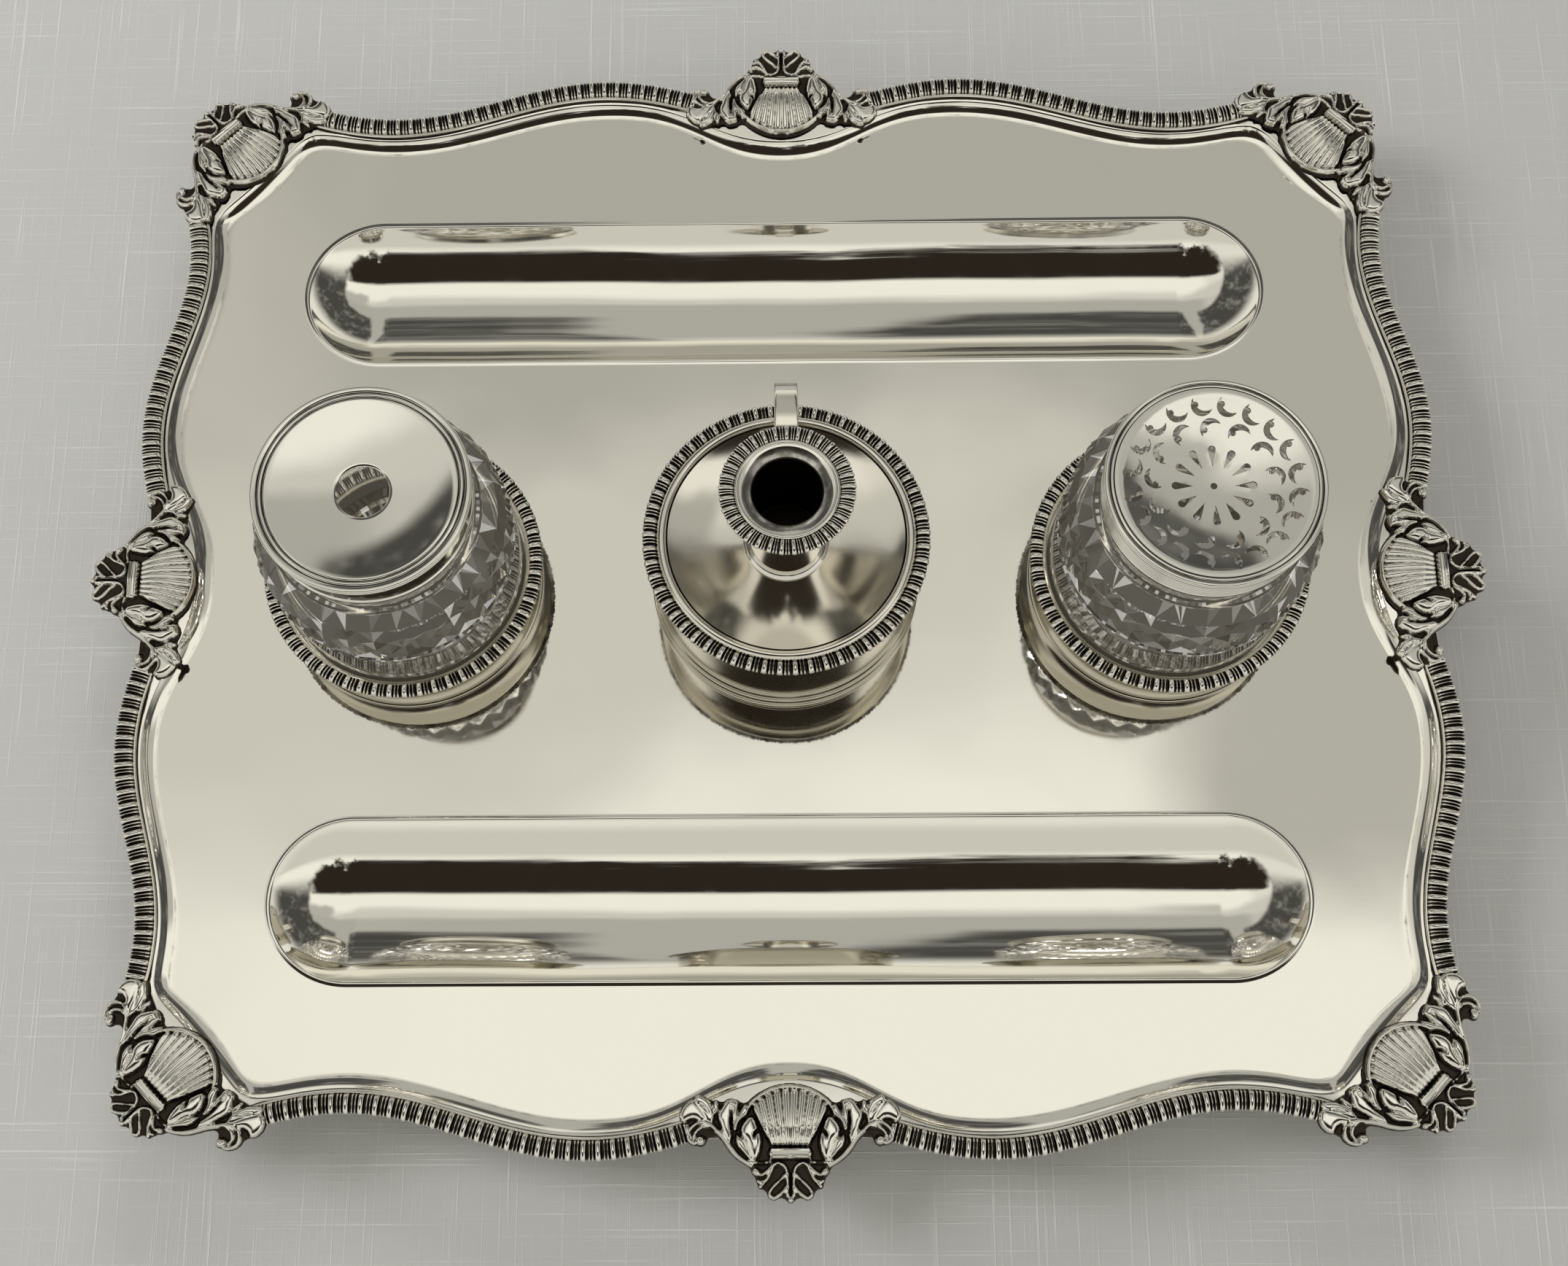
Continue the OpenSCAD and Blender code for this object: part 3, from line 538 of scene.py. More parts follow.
rows = [(-1.6, FLOOR_Z), (-0.7, FLOOR_Z), (-0.3, FLOOR_Z + 0.012), (0.1, FLOOR_Z + 0.06)]
hollow_w = 2.75 + 0.12 * np.maximum(0, span - 9.5)
curve_r = hollow_w / (np.sin(HOLLOW_TO) - np.sin(HOLLOW_FROM))
full_rise = curve_r * (np.cos(HOLLOW_FROM) - np.cos(HOLLOW_TO))
arris_z = np.minimum(HOLLOW_Z + full_rise, FLANGE_Z - 0.5)
for a in np.linspace(HOLLOW_FROM, HOLLOW_TO, 10):
    rise = curve_r * (np.cos(HOLLOW_FROM) - np.cos(a)) * (arris_z - HOLLOW_Z) / full_rise
    rows.append((0.35 + curve_r * (np.sin(a) - np.sin(HOLLOW_FROM)), HOLLOW_Z + rise))
arris_s = rows[-1][0]
rows += [(arris_s + ds, arris_z + dz) for ds, dz in ((0.22, 0.17), (0.42, 0.27), (0.62, 0.31))]
beside = arris_z + 0.36 + 0.05 * np.maximum(0, bead_at - 0.9 - arris_s)
rows.append((np.maximum(bead_at - 0.9, arris_s + 0.9), np.minimum(beside, FLANGE_Z - 0.1)))
rows.append((np.maximum(bead_at - 0.5, arris_s + 1.1), np.minimum(rows[-1][1] + 0.06, FLANGE_Z - 0.06)))
n_bead = len(rows)
for a in np.radians(np.linspace(190, 0, 8)):
    rows.append((bead_at + BEAD_R * np.cos(a), FLANGE_Z + BEAD_H * np.sin(a) * on_strip))
flange_under = FLANGE_Z - SHEET
rows += [(span - 0.5, FLANGE_Z), (span - 0.15, FLANGE_Z - 0.05), (span, FLANGE_Z - 0.4),
         (span, flange_under + 0.3), (span - 0.3, flange_under), (hollow_w + 1.8, flange_under),
         (0.9, UNDER_Z + 0.1), (-0.6, UNDER_Z)]


def rim_row(s, z):
    """One row of the rim: s is the way out from the foot line. Near the foot the row
    follows a calmed direction, so that the lines don't bunch where the line turns."""
    s = np.broadcast_to(s, n_round)[:, None]
    true = np.clip(s / span[:, None], 0, 1) ** 0.7
    xy = foot_line + s * (calm * (1 - true) + outward * true)
    return np.column_stack([xy, np.broadcast_to(z, n_round)])


rim_points = np.stack([rim_row(s, z) for s, z in rows])
rim_recess = np.zeros((len(rows), n_round))
rim_recess[n_bead - 2:n_bead + 1] = np.array([[0.55], [1.0], [1.0]]) * on_strip
rim_recess[n_bead + 7:n_bead + 9] = 0.8
rim_recess[2:6] = np.array([[0.3], [0.42], [0.45], [0.3]])
print("rows across the rim:", len(rows))

# %% Trough rows and the two floors
def slot(end, straight):
    """Values round a slot with two round ends, from those of its right end and of its
    upper straight side."""
    return np.concatenate([end, straight, end * [-1, -1], straight * [-1, -1]])


turn = np.radians(np.linspace(-90, 90, 41))
run = np.linspace(1, -1, 25)[1:-1, None] * [TROUGH_RUN, 0]
slot_centre = slot(np.tile([TROUGH_RUN, 0.0], (41, 1)), run)
slot_out = slot(np.stack([np.cos(turn), np.sin(turn)], 1), np.tile([0.0, 1.0], (len(run), 1)))
n_slot = len(slot_centre)
half_w = TROUGH_W / 2
bowl_mid = FLOOR_Z - TROUGH_D + TROUGH_R
bowl_r = np.concatenate([half_w - np.array([0.12, 0.35, 0.8]), np.linspace(half_w - 1.6, 0, 16)])
lip = [(1.6, 0), (1.0, 0.02), (0.72, 0.14), (0.4, 0.2), (0.12, 0.1)]
top_rows = np.concatenate([np.array(lip) + [half_w, FLOOR_Z],
                           np.stack([bowl_r, bowl_mid - np.sqrt(TROUGH_R**2 - bowl_r**2)], 1)])
outer_R = TROUGH_R + SHEET
open_r = np.sqrt(outer_R**2 - (TROUGH_R - TROUGH_D + SHEET) ** 2)
under_r = np.linspace(open_r - 1, 0, 12)
under_rows = np.concatenate([[[open_r + 0.8, UNDER_Z], [open_r, UNDER_Z]],
                             np.stack([under_r, bowl_mid - np.sqrt(outer_R**2 - under_r**2)], 1)])


def trough_points(rows_rz, side):
    """Rows of a trough: each row is the outline of a straight slot with round ends, "r"
    away from its middle line, at height z."""
    xy = slot_centre + rows_rz[:, 0, None, None] * slot_out + [0, side * TROUGH_Y]
    return np.concatenate([xy, np.broadcast_to(rows_rz[:, 1, None, None], xy.shape[:2] + (1,))], -1)


def within(points, loop):
    """True for the points inside a closed loop: a line to the right crosses it an odd
    number of times."""
    x, y = points[:, :1], points[:, 1:]
    (ax, ay), (bx, by) = loop.T, np.roll(loop, -1, 0).T
    level = (ay > y) != (by > y)
    at = ax + (y - ay) * (bx - ax) / np.where(by == ay, 1, by - ay)
    return (level & (x < at)).sum(1) % 2 == 1


def fill(loops, extra=np.zeros((0, 2))):
    """A flat fill inside the first loop and outside the others. "extra" points are used
    inside it. Returns triangles, numbered through the loops one after another."""
    pts = np.concatenate(loops + [extra])
    edges, start = [], 0
    for loop in loops:
        k = np.arange(len(loop))
        edges += [(int(a), int(b)) for a, b in zip(start + k, start + (k + 1) % len(loop))]
        start += len(loop)
    out = delaunay_2d_cdt([tuple(p) for p in pts], edges, [], 1, 1e-5, True)
    source = np.array([o[0] if o else -1 for o in out[3]])
    tris = source[np.array(out[2])]
    middle = pts[tris].mean(1)
    keep = within(middle, loops[0])
    for hole in loops[1:]:
        keep &= ~within(middle, hole)
    tris = tris[keep]
    a, b, c = (pts[tris[:, k]] for k in range(3))
    turn = (b[:, 0] - a[:, 0]) * (c[:, 1] - a[:, 1]) - (b[:, 1] - a[:, 1]) * (c[:, 0] - a[:, 0])
    return np.where((turn < 0)[:, None], tris[:, ::-1], tris)


blocks, faces, starts = [rim_points], [grid_faces(len(rows), n_round, wrap_cols=True)[:, ::-1]], []
start = rim_points.shape[0] * n_round
for rows_rz, way in ((top_rows, 1), (under_rows, -1)):
    for side in (-1, 1):
        blocks.append(trough_points(rows_rz, side))
        faces.append((grid_faces(len(rows_rz), n_slot, wrap_cols=True) + start)[:, ::way])
        starts.append(start)
        start += len(rows_rz) * n_slot
tray_points = np.concatenate([block.reshape(-1, 3) for block in blocks])
for first, holes, way in ((0, starts[:2], 1), ((len(rows) - 1) * n_round, starts[2:], -1)):
    numbers = [first + np.arange(n_round)] + [hole + np.arange(n_slot) for hole in holes]
    tris = fill([tray_points[loop, :2] for loop in numbers])
    faces.append(np.concatenate(numbers)[tris][:, ::way])
recess = np.zeros(len(tray_points))
recess[:rim_recess.size] = rim_recess.ravel()
tray_shell = lay("tray_shell", tray_points, faces, recess, angle=40)
print("tray faces:", len(tray_shell.data.polygons))

with editing(tray_shell) as mesh:  # the two sides of a trough's middle line are merged
    bmesh.ops.remove_doubles(mesh, verts=mesh.verts, dist=0.00001)
finish_piece(tray_shell, "tray", sheet_silver, "tray")

# %% [markdown]
# ## Gadroon borders
# A gadroon strip is cast: one broad lobe, two thin reeds, and black between them, again
# and again. The strip is a closed tube along the border's line. Its height is the lobe's
# curve along the strip times a crown across it, so each lobe has round ends.

# %% Gadroon strips
def lobe_curve(u):
    """Height along one repeat, u from 0 to 1: a broad round lobe over the first half and
    two thin reeds over the rest, with grooves down to 0 between them."""
    reeds = np.maximum(half_round((u - 0.61) / 0.09), half_round((u - 0.84) / 0.09))
    return np.maximum(half_round((u - 0.26) / 0.21), 0.78 * reeds)


LOBE_U = np.array([0.0, 0.052, 0.075, 0.14, 0.26, 0.38, 0.445, 0.468, 0.52,
                   0.545, 0.61, 0.675, 0.70, 0.75, 0.775, 0.84, 0.905, 0.93])
ACROSS = np.array([0.0, 0.05, 0.16, 0.38, 0.62, 0.84, 0.95, 1.0])
LOBE_EDGE = 0.25  # the height of a lobe's upright edge


def gadroon(name, base, across, repeats, width, height, z, closed=False, flip=False):
    """Lays the tube of a strip: base(t) gives its inner edge and across(t) the direction
    across it, for t from 0 to 1 along the strip. The height is the lobe's curve times a
    crown. Round a circle the tube closes on itself, else it gets flat ends."""
    t = (np.arange(repeats)[:, None] + LOBE_U).ravel() / repeats
    lobe = np.tile(lobe_curve(LOBE_U), repeats)[:, None]
    crown = (1 - np.abs(2 * ACROSS - 1) ** 2.6) ** 0.5
    top = LOBE_EDGE + (height - LOBE_EDGE) * lobe * crown + 0.15 * height * (1 - lobe) * crown
    narrowing = 1 - 0.10 * (1 - lobe) * np.maximum(0, ACROSS - 0.5) * 2
    xy = base(t)[:, None] + across(t)[:, None] * (width * ACROSS * narrowing)[..., None]
    points = np.concatenate([xy, (z + top)[..., None]], -1)
    points = np.pad(points, ((0, 0), (1, 1), (0, 0)), "edge")
    points[:, [0, -1], 2] = z
    n, m = points.shape[:2]
    dark = np.full((n, m), 0.6)
    dark[:, 1:-1] = np.clip(1.5 - 1.7 * lobe, 0, 1)
    faces = [grid_faces(n, m, wrap_rows=closed, wrap_cols=True)]
    if not closed:
        faces.append(np.array([np.arange(m)[::-1], (n - 1) * m + np.arange(m)]))
    if flip:
        faces = [f[:, ::-1] for f in faces]
    return lay(name, points, faces, dark, angle=60)


def strip_line(point, end, mirror):
    """The inner edge and the across direction of a strip that follows a border line."""
    def at(t):
        return point(MID_GAP + (end - MID_GAP) * t) * mirror

    def across(t):
        d = at(t + 1e-4) - at(t - 1e-4)
        d /= np.hypot(*d.T)[:, None]
        n = np.stack([d[:, 1], -d[:, 0]], 1)
        return n * np.sign((n * at(t)).sum(1))[:, None]

    return (lambda t: at(t) - across(t) * GAD_W / 2), across


def long_point(x):
    return np.stack([x, long_y(x)], -1)


def short_point(y):
    return np.stack([short_x(y), y], -1)


SIGN = {"back": 1, "front": -1, "right": 1, "left": -1}
QUARTERS = [(a, b, np.array([SIGN[b], SIGN[a]])) for a in ("back", "front") for b in ("left", "right")]
for a, b, mirror in QUARTERS:
    for label, point, end in ((f"{a}_{b}", long_point, LONG_END), (f"{b}_{a}", short_point, SHORT_END)):
        flip = (mirror.prod() > 0) == (point is long_point)
        count = round((end - MID_GAP) / GAD_PITCH)
        base, across = strip_line(point, end, mirror)
        piece = gadroon(f"gadroon_{label}", base, across, count, GAD_W, GAD_H, FLANGE_Z, flip=flip)
        finish_piece(piece, "tray", cast_silver, f"border_{label}")
print("strips laid:", len(made_pieces) - 1)

# %% Round gadroon rims
def circle(t):
    """Unit vectors round a circle, t from 0 to 1."""
    return np.stack([np.cos(TAU * t), np.sin(TAU * t)], -1)


holder_rim = (HOLDER_IN + 0.9, HOLDER_R, RIM_H, FLOOR_Z + HOLDER_H, 57)
RIMS = [  # (piece, solid, body, x, (inner r, outer r, height, foot z, repeats))
    ("ink_holder_gadroon", "ink_holder_rim", "tray", -BOTTLE_X, holder_rim),
    ("pounce_holder_gadroon", "pounce_holder_rim", "tray", BOTTLE_X, holder_rim),
    ("drip_pan_gadroon", "cover_rim", "taper_cover", 0,
     (PAN_R + BEAD, COVER_R, RIM_H, BOX_TOP + PLATE, 57)),
    ("nozzle_gadroon", "nozzle_rim", "nozzle", 0, (LIP_R, NOZZLE_R, 1.2, SOCKET_TOP + FLANGE_T, 33)),
]
for name, solid, body, x, (r_in, r_out, height, z, count) in RIMS:
    def base(t):
        return r_in * circle(t) + [x, 0]

    piece = gadroon(name, base, circle, count, r_out - r_in, height, z, closed=True, flip=True)
    finish_piece(piece, body, cast_silver, solid)
print("round rims laid")

# %% [markdown]
# ## Turned and raised pieces
# Feet, holders, box, pan, socket and nozzle are all round, so one section each is enough.
# On the real object they are spun or raised, then their edges are burnished: here every
# corner of a section gets a small radius, for a mirror shows an edge by its highlight.

# %% Feet
pad = rounded([(0, 0, 0), (7.0, 0, 0.6), (8.0, 1.0, 0.7), (7.9, 2.3, 0.6), (5.9, 3.2, 0.5)])
waist = arc(8.3, 8.85, 4.0, 215, 145, 12)
crown = rounded([(5.6, 13.9, 0), (7.6, 15.4, 0.5), (9.4, 16.4, 0.5), (9.4, UNDER_Z, 0.2), (0, UNDER_Z, 0)])
foot_profile = np.concatenate([pad[:-1], waist, crown[1:]])
for a, b, mirror in QUARTERS:
    spot = mirror * [TRAY_L / 2 - 53, TRAY_W / 2 - 49]
    foot = turned(f"turned_foot_{a}_{b}", foot_profile, spot, 64)
    finish_piece(foot, "tray", turned_silver, f"foot_{a}_{b}")
print("feet turned")

# %% Holders
w, z = HOLDER_OUT, FLOOR_Z
outer = rounded([(HOLDER_IN, z, 0), (w + 1.7, z, 0.2), (w + 1.7, z + 1.1, 0.4), (w + 1.0, z + 1.3, 0.1),
                 (w + 1.15, z + 2.4, 0.6), (w + 0.5, z + 3.2, 0.2)])
t = np.linspace(0, 1, 12)
cove = np.stack([w + 0.05 + 2.2 * t**2.6, z + 3.6 + 9.6 * t], 1)
top = rounded([(w + 2.25, z + 13.2, 0), (w + 2.3, z + HOLDER_H, 0.15), (HOLDER_IN, z + HOLDER_H, 0.35),
               (HOLDER_IN, z + 2, 0)])
holder_profile = np.concatenate([outer, cove, top[1:]])
for label, x in (("ink", -BOTTLE_X), ("pounce", BOTTLE_X)):
    holder = turned(f"{label}_ring_holder", holder_profile, (x, 0), closed=True)
    finish_piece(holder, "tray", wall_silver, f"{label}_holder")
print("holders raised")

# %% Wafer box
WALL_STEPS = [  # (out from the wall, up from the floor, radius)
    (1.9, 0, 0.3), (1.9, 1.3, 0.6), (1.25, 1.6, 0.2), (1.45, 2.7, 0.7), (1.3, 3.9, 0.6), (0.65, 4.2, 0.2),
    (0.85, 5.0, 0.5), (0.6, 6.4, 0.5), (0, 6.7, 0.3), (0, 27.6, 0.3), (0.5, 28.0, 0.3), (0.5, BOX_H, 0.3),
    (-BOX_WALL, BOX_H, 0.3), (-BOX_WALL, PLATE, 0.6)]
wall = [(BOX_R + out, FLOOR_Z + rise, radius) for out, rise, radius in WALL_STEPS]
box = turned("wafer_box_drum", rounded([(0, FLOOR_Z, 0), *wall, (0, FLOOR_Z + PLATE, 0)]))
finish_piece(box, "tray", wall_silver, "wafer_box")

# %% Drip pan of the taperstick
pan_R = ((PAN_R - LAND_R) ** 2 + PAN_DEPTH**2) / (2 * PAN_DEPTH)
lip_r, edge_r, edge_z = BOX_R - BOX_WALL - 0.2, COVER_R - 0.9, BOX_TOP + PLATE


def pan_top(r):
    """The pan's upper side: flat out to the land, then an arc that rises to its edge."""
    return np.stack([r, LAND_Z + pan_R - np.sqrt(pan_R**2 - np.maximum(0, r - LAND_R) ** 2)], 1)


r_dish = np.linspace(LAND_R, PAN_R - 0.35, 22)
under = rounded([(28.5, BOX_TOP, 0), (lip_r - 1, BOX_TOP, 0), (lip_r - 1, BOX_TOP - 3, 0.2),
                 (lip_r, BOX_TOP - 3, 0.2), (lip_r, BOX_TOP, 0), (edge_r, BOX_TOP, 0.2),
                 (edge_r, edge_z, 0.2), (PAN_R + BEAD, edge_z, 0)])
bead = arc(PAN_R + BEAD - 1.35, PAN_Z - 0.7, 1.35, -20, 168, 14)
profile = np.concatenate([
    [[0, LAND_Z - PLATE]], pan_top(r_dish[:-3]) - [0, PLATE], under, bead, pan_top(r_dish[::-1]),
    [[LAND_R - 0.6, LAND_Z], [0, LAND_Z]]])
dark = np.exp(-((profile[:, 0] - PAN_R + 0.1) / 0.25) ** 2) * (profile[:, 1] > edge_z)
pan = turned("drip_pan", profile, sides=192, recess=dark)
finish_piece(pan, "taper_cover", worn_silver, "cover")

# %% Candle socket and finger ring
out, z, bottom = SOCKET_R, LAND_Z, LAND_Z + 2
profile = rounded([(0, z, 0), (out + 1.2, z, 0.1), (out + 1.2, z + 0.7, 0.3), (out + 0.5, z + 1.4, 0.3),
                   (out, z + 1.6, 0.2), (out, SOCKET_TOP, 0.15), (SOCKET_IN, SOCKET_TOP, 0.15),
                   (SOCKET_IN, bottom, 0.3), (0, bottom, 0)])
inner = (np.arange(len(profile)) > len(profile) // 2) & (profile[:, 0] < SOCKET_IN + 0.05)
socket = turned("candle_socket", profile, sides=96, recess=inner)
finish_piece(socket, "taper_cover", turned_silver, "socket")

LOOP_SIDES = 96
half = STRAP_W / 2
section = rounded([(0, -STRAP_T, 0), (half, -STRAP_T, 0.3), (half, 0, 0.5), (-half, 0, 0.5),
                   (-half, -STRAP_T, 0.3), (-0.2, -STRAP_T, 0)])
yzx = ring_rows(section[:, ::-1] + [LOOP_R, 0], LOOP_SIDES) + [LOOP_Y, LOOP_Z, 0]
faces = grid_faces(len(section), LOOP_SIDES, wrap_rows=True, wrap_cols=True)
finger_ring = lay("finger_ring", yzx[..., [2, 0, 1]], faces, angle=60)
finish_piece(finger_ring, "taper_cover", worn_silver, "finger_loop")

# %% Nozzle
tube_r, flange_r = TAPER_R + TUBE_WALL, NOZZLE_R - 0.6
foot_z, flange_z = SOCKET_TOP - TUBE_L, SOCKET_TOP + FLANGE_T
outside = rounded([(TAPER_R, foot_z, 0), (tube_r, foot_z, 0.1), (tube_r, SOCKET_TOP, 0),
                   (flange_r, SOCKET_TOP, 0.3), (flange_r, flange_z, 0.3), (LIP_R, flange_z, 0)])
lip = arc(LIP_R - 0.55, SOCKET_TOP + LIP_H - 0.55, 0.55, 0, 170, 10)
t = np.linspace(0, 1, 10)
bell = np.stack([11.35 - 2.95 * t, SOCKET_TOP + LIP_H - 0.25 - 1.5 * t**1.6], 1)
profile = np.concatenate([outside, lip, bell, [[TAPER_R, SOCKET_TOP - 1.6]]])
r, z = profile.T
dark = np.where((r < 10.6) & (z > SOCKET_TOP + 0.01), 0.55, 0.0)
dark[(r < TAPER_R + 0.3) & (np.arange(len(r)) >= len(outside))] = 1.0
dark[0] = 1.0
nozzle = turned("taper_nozzle", profile, sides=128, closed=True, recess=dark)
finish_piece(nozzle, "nozzle", pierced_silver, "nozzle")
print("box, pan, socket, ring and nozzle made")

# %% [markdown]
# ## Caps
# Both caps are dished like a saucer. The ink cap has one round hole for the quill; the
# pounce cap holds a thin pierced dish that sifts the powder.

# %% Caps
top_z = CAP_SEAT + CAP_TOP


def dish_z(r, depth):
    """Height of a dish that sinks by "depth" below the top of its cap."""
    dish_R = (DISH_EDGE**2 + depth**2) / (2 * depth)
    return top_z - depth + dish_R - np.sqrt(dish_R**2 - r**2)


def cap_side(reeds):
    """The outside of a cap in section, from the foot of its sleeve to its top edge."""
    wall, foot_z = SLEEVE_IN + SLEEVE_WALL, CAP_SEAT - SLEEVE_H
    foot = rounded([(SLEEVE_IN, foot_z, 0), (wall + 0.3, foot_z, 0.2),
                    (wall + 0.3, foot_z + 0.9, 0.2), (wall, foot_z + 1.1, 0)])
    ribs = [arc(wall, CAP_SEAT - 1.6 - 0.7 * k, 0.3, -80, 80, 6) for k in range(reeds)[::-1]]
    rim = [arc(CAP_R - 0.45, top_z - down, 0.45, start, end, 7)
           for down, start, end in ((1.35, -90, 62), (0.45, -62, 88))]
    return np.concatenate([foot, *ribs, [[wall, top_z - CAP_RIM - 0.02]], *rim])


def groove(r, depth=0.26):
    """A small turned groove in a flat top, going inward."""
    half = -0.5 * depth
    return np.array([[0.28, 0], [0.16, half], [0, -depth], [-0.16, half], [-0.28, 0]]) + [r, top_z]


def cap(label, x, section, grooves, dark=0):
    """Turns a cap, with shade in the grooves of its top."""
    r, z = section.T
    for at in grooves:
        dark = dark + np.exp(-((r - at) / 0.2) ** 2) * (z > top_z - 0.5)
    shape = {"ink_cap": "ink_cap_dished", "pounce_cap": "pounce_cap_ring"}[label]
    piece = turned(shape, section, (x, 0), 192, closed=True, recess=dark)
    finish_piece(piece, label, turned_silver, label)


r_dish = np.linspace(DISH_EDGE - 0.3, DIP_R + 0.25, 26)
dish = np.stack([r_dish, dish_z(r_dish, INK_DISH)], 1)
hole = [DIP_R, dish[-1, 1]] + np.array([[0, -0.2], [0, -0.5], [0.3, -0.6]])
ink = np.concatenate([
    cap_side(0), groove(24.2), groove(23.0), [[DISH_EDGE + 0.15, top_z], [DISH_EDGE, top_z - 0.03]], dish,
    hole, dish[::-1][2:] - [0, DISH_T], [[DISH_EDGE, CAP_SEAT], [SLEEVE_IN, CAP_SEAT]]])
cap("ink_cap", -BOTTLE_X, ink, (24.2, 23.0))

ledge = DISC_R - 1.2
pounce = np.concatenate([
    cap_side(8), groove(24.6, 0.2), [[DISC_R + 0.3, top_z], [DISC_R + 0.06, top_z - 0.12]],
    [[DISC_R, top_z - DISH_T], [ledge, top_z - DISH_T], [ledge, CAP_SEAT], [SLEEVE_IN, CAP_SEAT]]])
cap("pounce_cap", BOTTLE_X, pounce, (24.6,), dark=np.abs(pounce[:, 0] - DISC_R) < 0.1)
print("caps made")

# %% Pierced dish
def crossing(ax, ay, ar, bx, by, br):
    """The two points where two circles cross, the lower one first."""
    d = np.hypot(bx - ax, by - ay)
    along = (d * d + ar * ar - br * br) / (2 * d)
    off = np.sqrt(ar * ar - along * along)
    ex, ey = (bx - ax) / d, (by - ay) / d
    both = [(ax + along * ex - s * off * ey, ay + along * ey + s * off * ex) for s in (1, -1)]
    return sorted(both, key=lambda p: p[1])


def sweep(cx, cy, r, p, q, way, steps):
    """Points on a circle from p to q, turning anticlockwise (1) or clockwise (-1)."""
    a0, a1 = np.arctan2(p[1] - cy, p[0] - cx), np.arctan2(q[1] - cy, q[0] - cx)
    span_a = (a1 - a0) % TAU if way > 0 else -((a0 - a1) % TAU)
    a = a0 + span_a * np.linspace(0, 1, steps + 1)[:-1]
    return np.stack([cx + r * np.cos(a), cy + r * np.sin(a)], 1)


def leaf(turn):
    """A crescent (circle less circle) with a round bud on its inner side."""
    back, hollow, bud = (0, 0, 2.6), (1.8, 0, 2.9), (-0.7, turn * 1.35, 0.75)
    low, high = crossing(*back, *hollow)
    bud_low, bud_high = crossing(*hollow, *bud)
    return np.concatenate([sweep(*back, high, low, 1, 14), sweep(*hollow, low, bud_low, -1, 5),
                           sweep(*bud, bud_low, bud_high, 1, 8), sweep(*hollow, bud_high, high, -1, 5)])


def spun(line, degrees):
    c, s = np.cos(np.radians(degrees)), np.sin(np.radians(degrees))
    return line @ np.array([[c, s], [-s, c]])


petal = np.concatenate([[[4.8, 0]], sweep(9, 0, 0.95, (8.9, -0.94), (8.9, 0.94), 1, 12), [[8.9, 0.94]]])
loops = [(DISC_R - 0.05) * ring(160), 0.8 * ring(160)[::10]]
loops += [spun(petal, 30 * k) for k in range(12)]
loops += [spun(spun(leaf(-1), 216) + [13.9, 0], 360 * k / 13 + 7) for k in range(13)]
loops += [spun(spun(leaf(1), -35) + [19.6, 0], 18 * k + 6) for k in range(20)]

# points between the holes, six to a millimetre of radius, and none too near a hole's edge
FILL_RINGS = (1.6, 2.6, 3.6, 5.2, 6.6, 8.0, 10.8, 11.6, 12.6, 14.2, 15.6, 16.8, 17.8, 19.4, 21.2, 22.2, 22.8)
extra = np.concatenate([r * ring(int(6 * r)) for r in FILL_RINGS])
extra = extra[np.sqrt(((extra[:, None] - np.concatenate(loops)) ** 2).sum(-1)).min(1) > 0.35]

flat = np.concatenate(loops + [extra])
n_flat = len(flat)
tris = fill(loops, extra)
walls, start = [], 0
for loop in loops:
    k = start + np.arange(len(loop))
    k1 = np.roll(k, -1)
    x, y = loop.T
    anticlockwise = (x * np.roll(y, -1) - np.roll(x, -1) * y).sum() > 0
    wall = np.stack([k, k1, k1 + n_flat, k + n_flat], 1)
    walls.append(wall[:, [0, 3, 2, 1]] if (start == 0) == anticlockwise else wall)
    start += len(loop)
flat_r = np.minimum(np.hypot(*flat.T), DISH_EDGE)
top_pts = np.column_stack([flat + [BOTTLE_X, 0], dish_z(flat_r, POUNCE_DISH)])
pierced_dish = lay("pierced_dish", np.concatenate([top_pts, top_pts - [0, 0, DISH_T]]),
                   [tris, tris[:, ::-1] + n_flat, *walls], angle=40)
with editing(pierced_dish) as mesh:
    bmesh.ops.delete(mesh, geom=[v for v in mesh.verts if not v.link_faces], context="VERTS")
    bmesh.ops.recalc_face_normals(mesh, faces=mesh.faces)
finish_piece(pierced_dish, "pounce_cap", pierced_silver, "pierced_disc")
print("pierced dish faces:", len(pierced_dish.data.polygons))

# %% [markdown]
# ## Cut glass bottles
# Thirty diamonds stand in each row. The wheel cuts two sets of slanting grooves, and what
# is left between them is a field of pyramids: here every second point of a lattice stands
# out and the others sink, and each cell is split along its two low points. The relief dies
# out over the shoulder, and a few facets are marked for painted glints, which glow.

# %% Bottles
N_CUT, ROWS_CUT, SPLIT, CUT_DEPTH = 60, 6, 3, 0.8
SIDES_GLASS = N_CUT * SPLIT
CUT_RELIEF = np.array([0, 1, 1, 0.95, 0.3, 0.0, 0])


def cut_lattice():
    """Corners of the cut band, row by row. The band is straight, then drawn in over the
    shoulder; its first and last rows are plain rings."""
    i, k = np.meshgrid(np.arange(N_CUT), np.arange(ROWS_CUT + 1))
    t = np.maximum(0, k / ROWS_CUT - 0.68) / 0.32
    plain = GLASS_R - 0.4 - (GLASS_R - 0.4 - NECK_R - 2.2) * t**1.4
    relief = np.where((i + k) % 2 == 0, CUT_DEPTH, -CUT_DEPTH) * CUT_RELIEF[k] + 0.05
    r = plain + np.where((k > 0) & (k < ROWS_CUT), relief, -0.3)
    return np.concatenate([r[..., None] * ring(N_CUT), (CUT_Z + CUT_H * k / ROWS_CUT)[..., None]], -1)


def split(row):
    """A ring of the band with each side parted in three, to meet the turned rows."""
    t = (np.arange(SPLIT) / SPLIT)[:, None]
    return (row[:, None] * (1 - t) + np.roll(row, -1, 0)[:, None] * t).reshape(-1, 3)


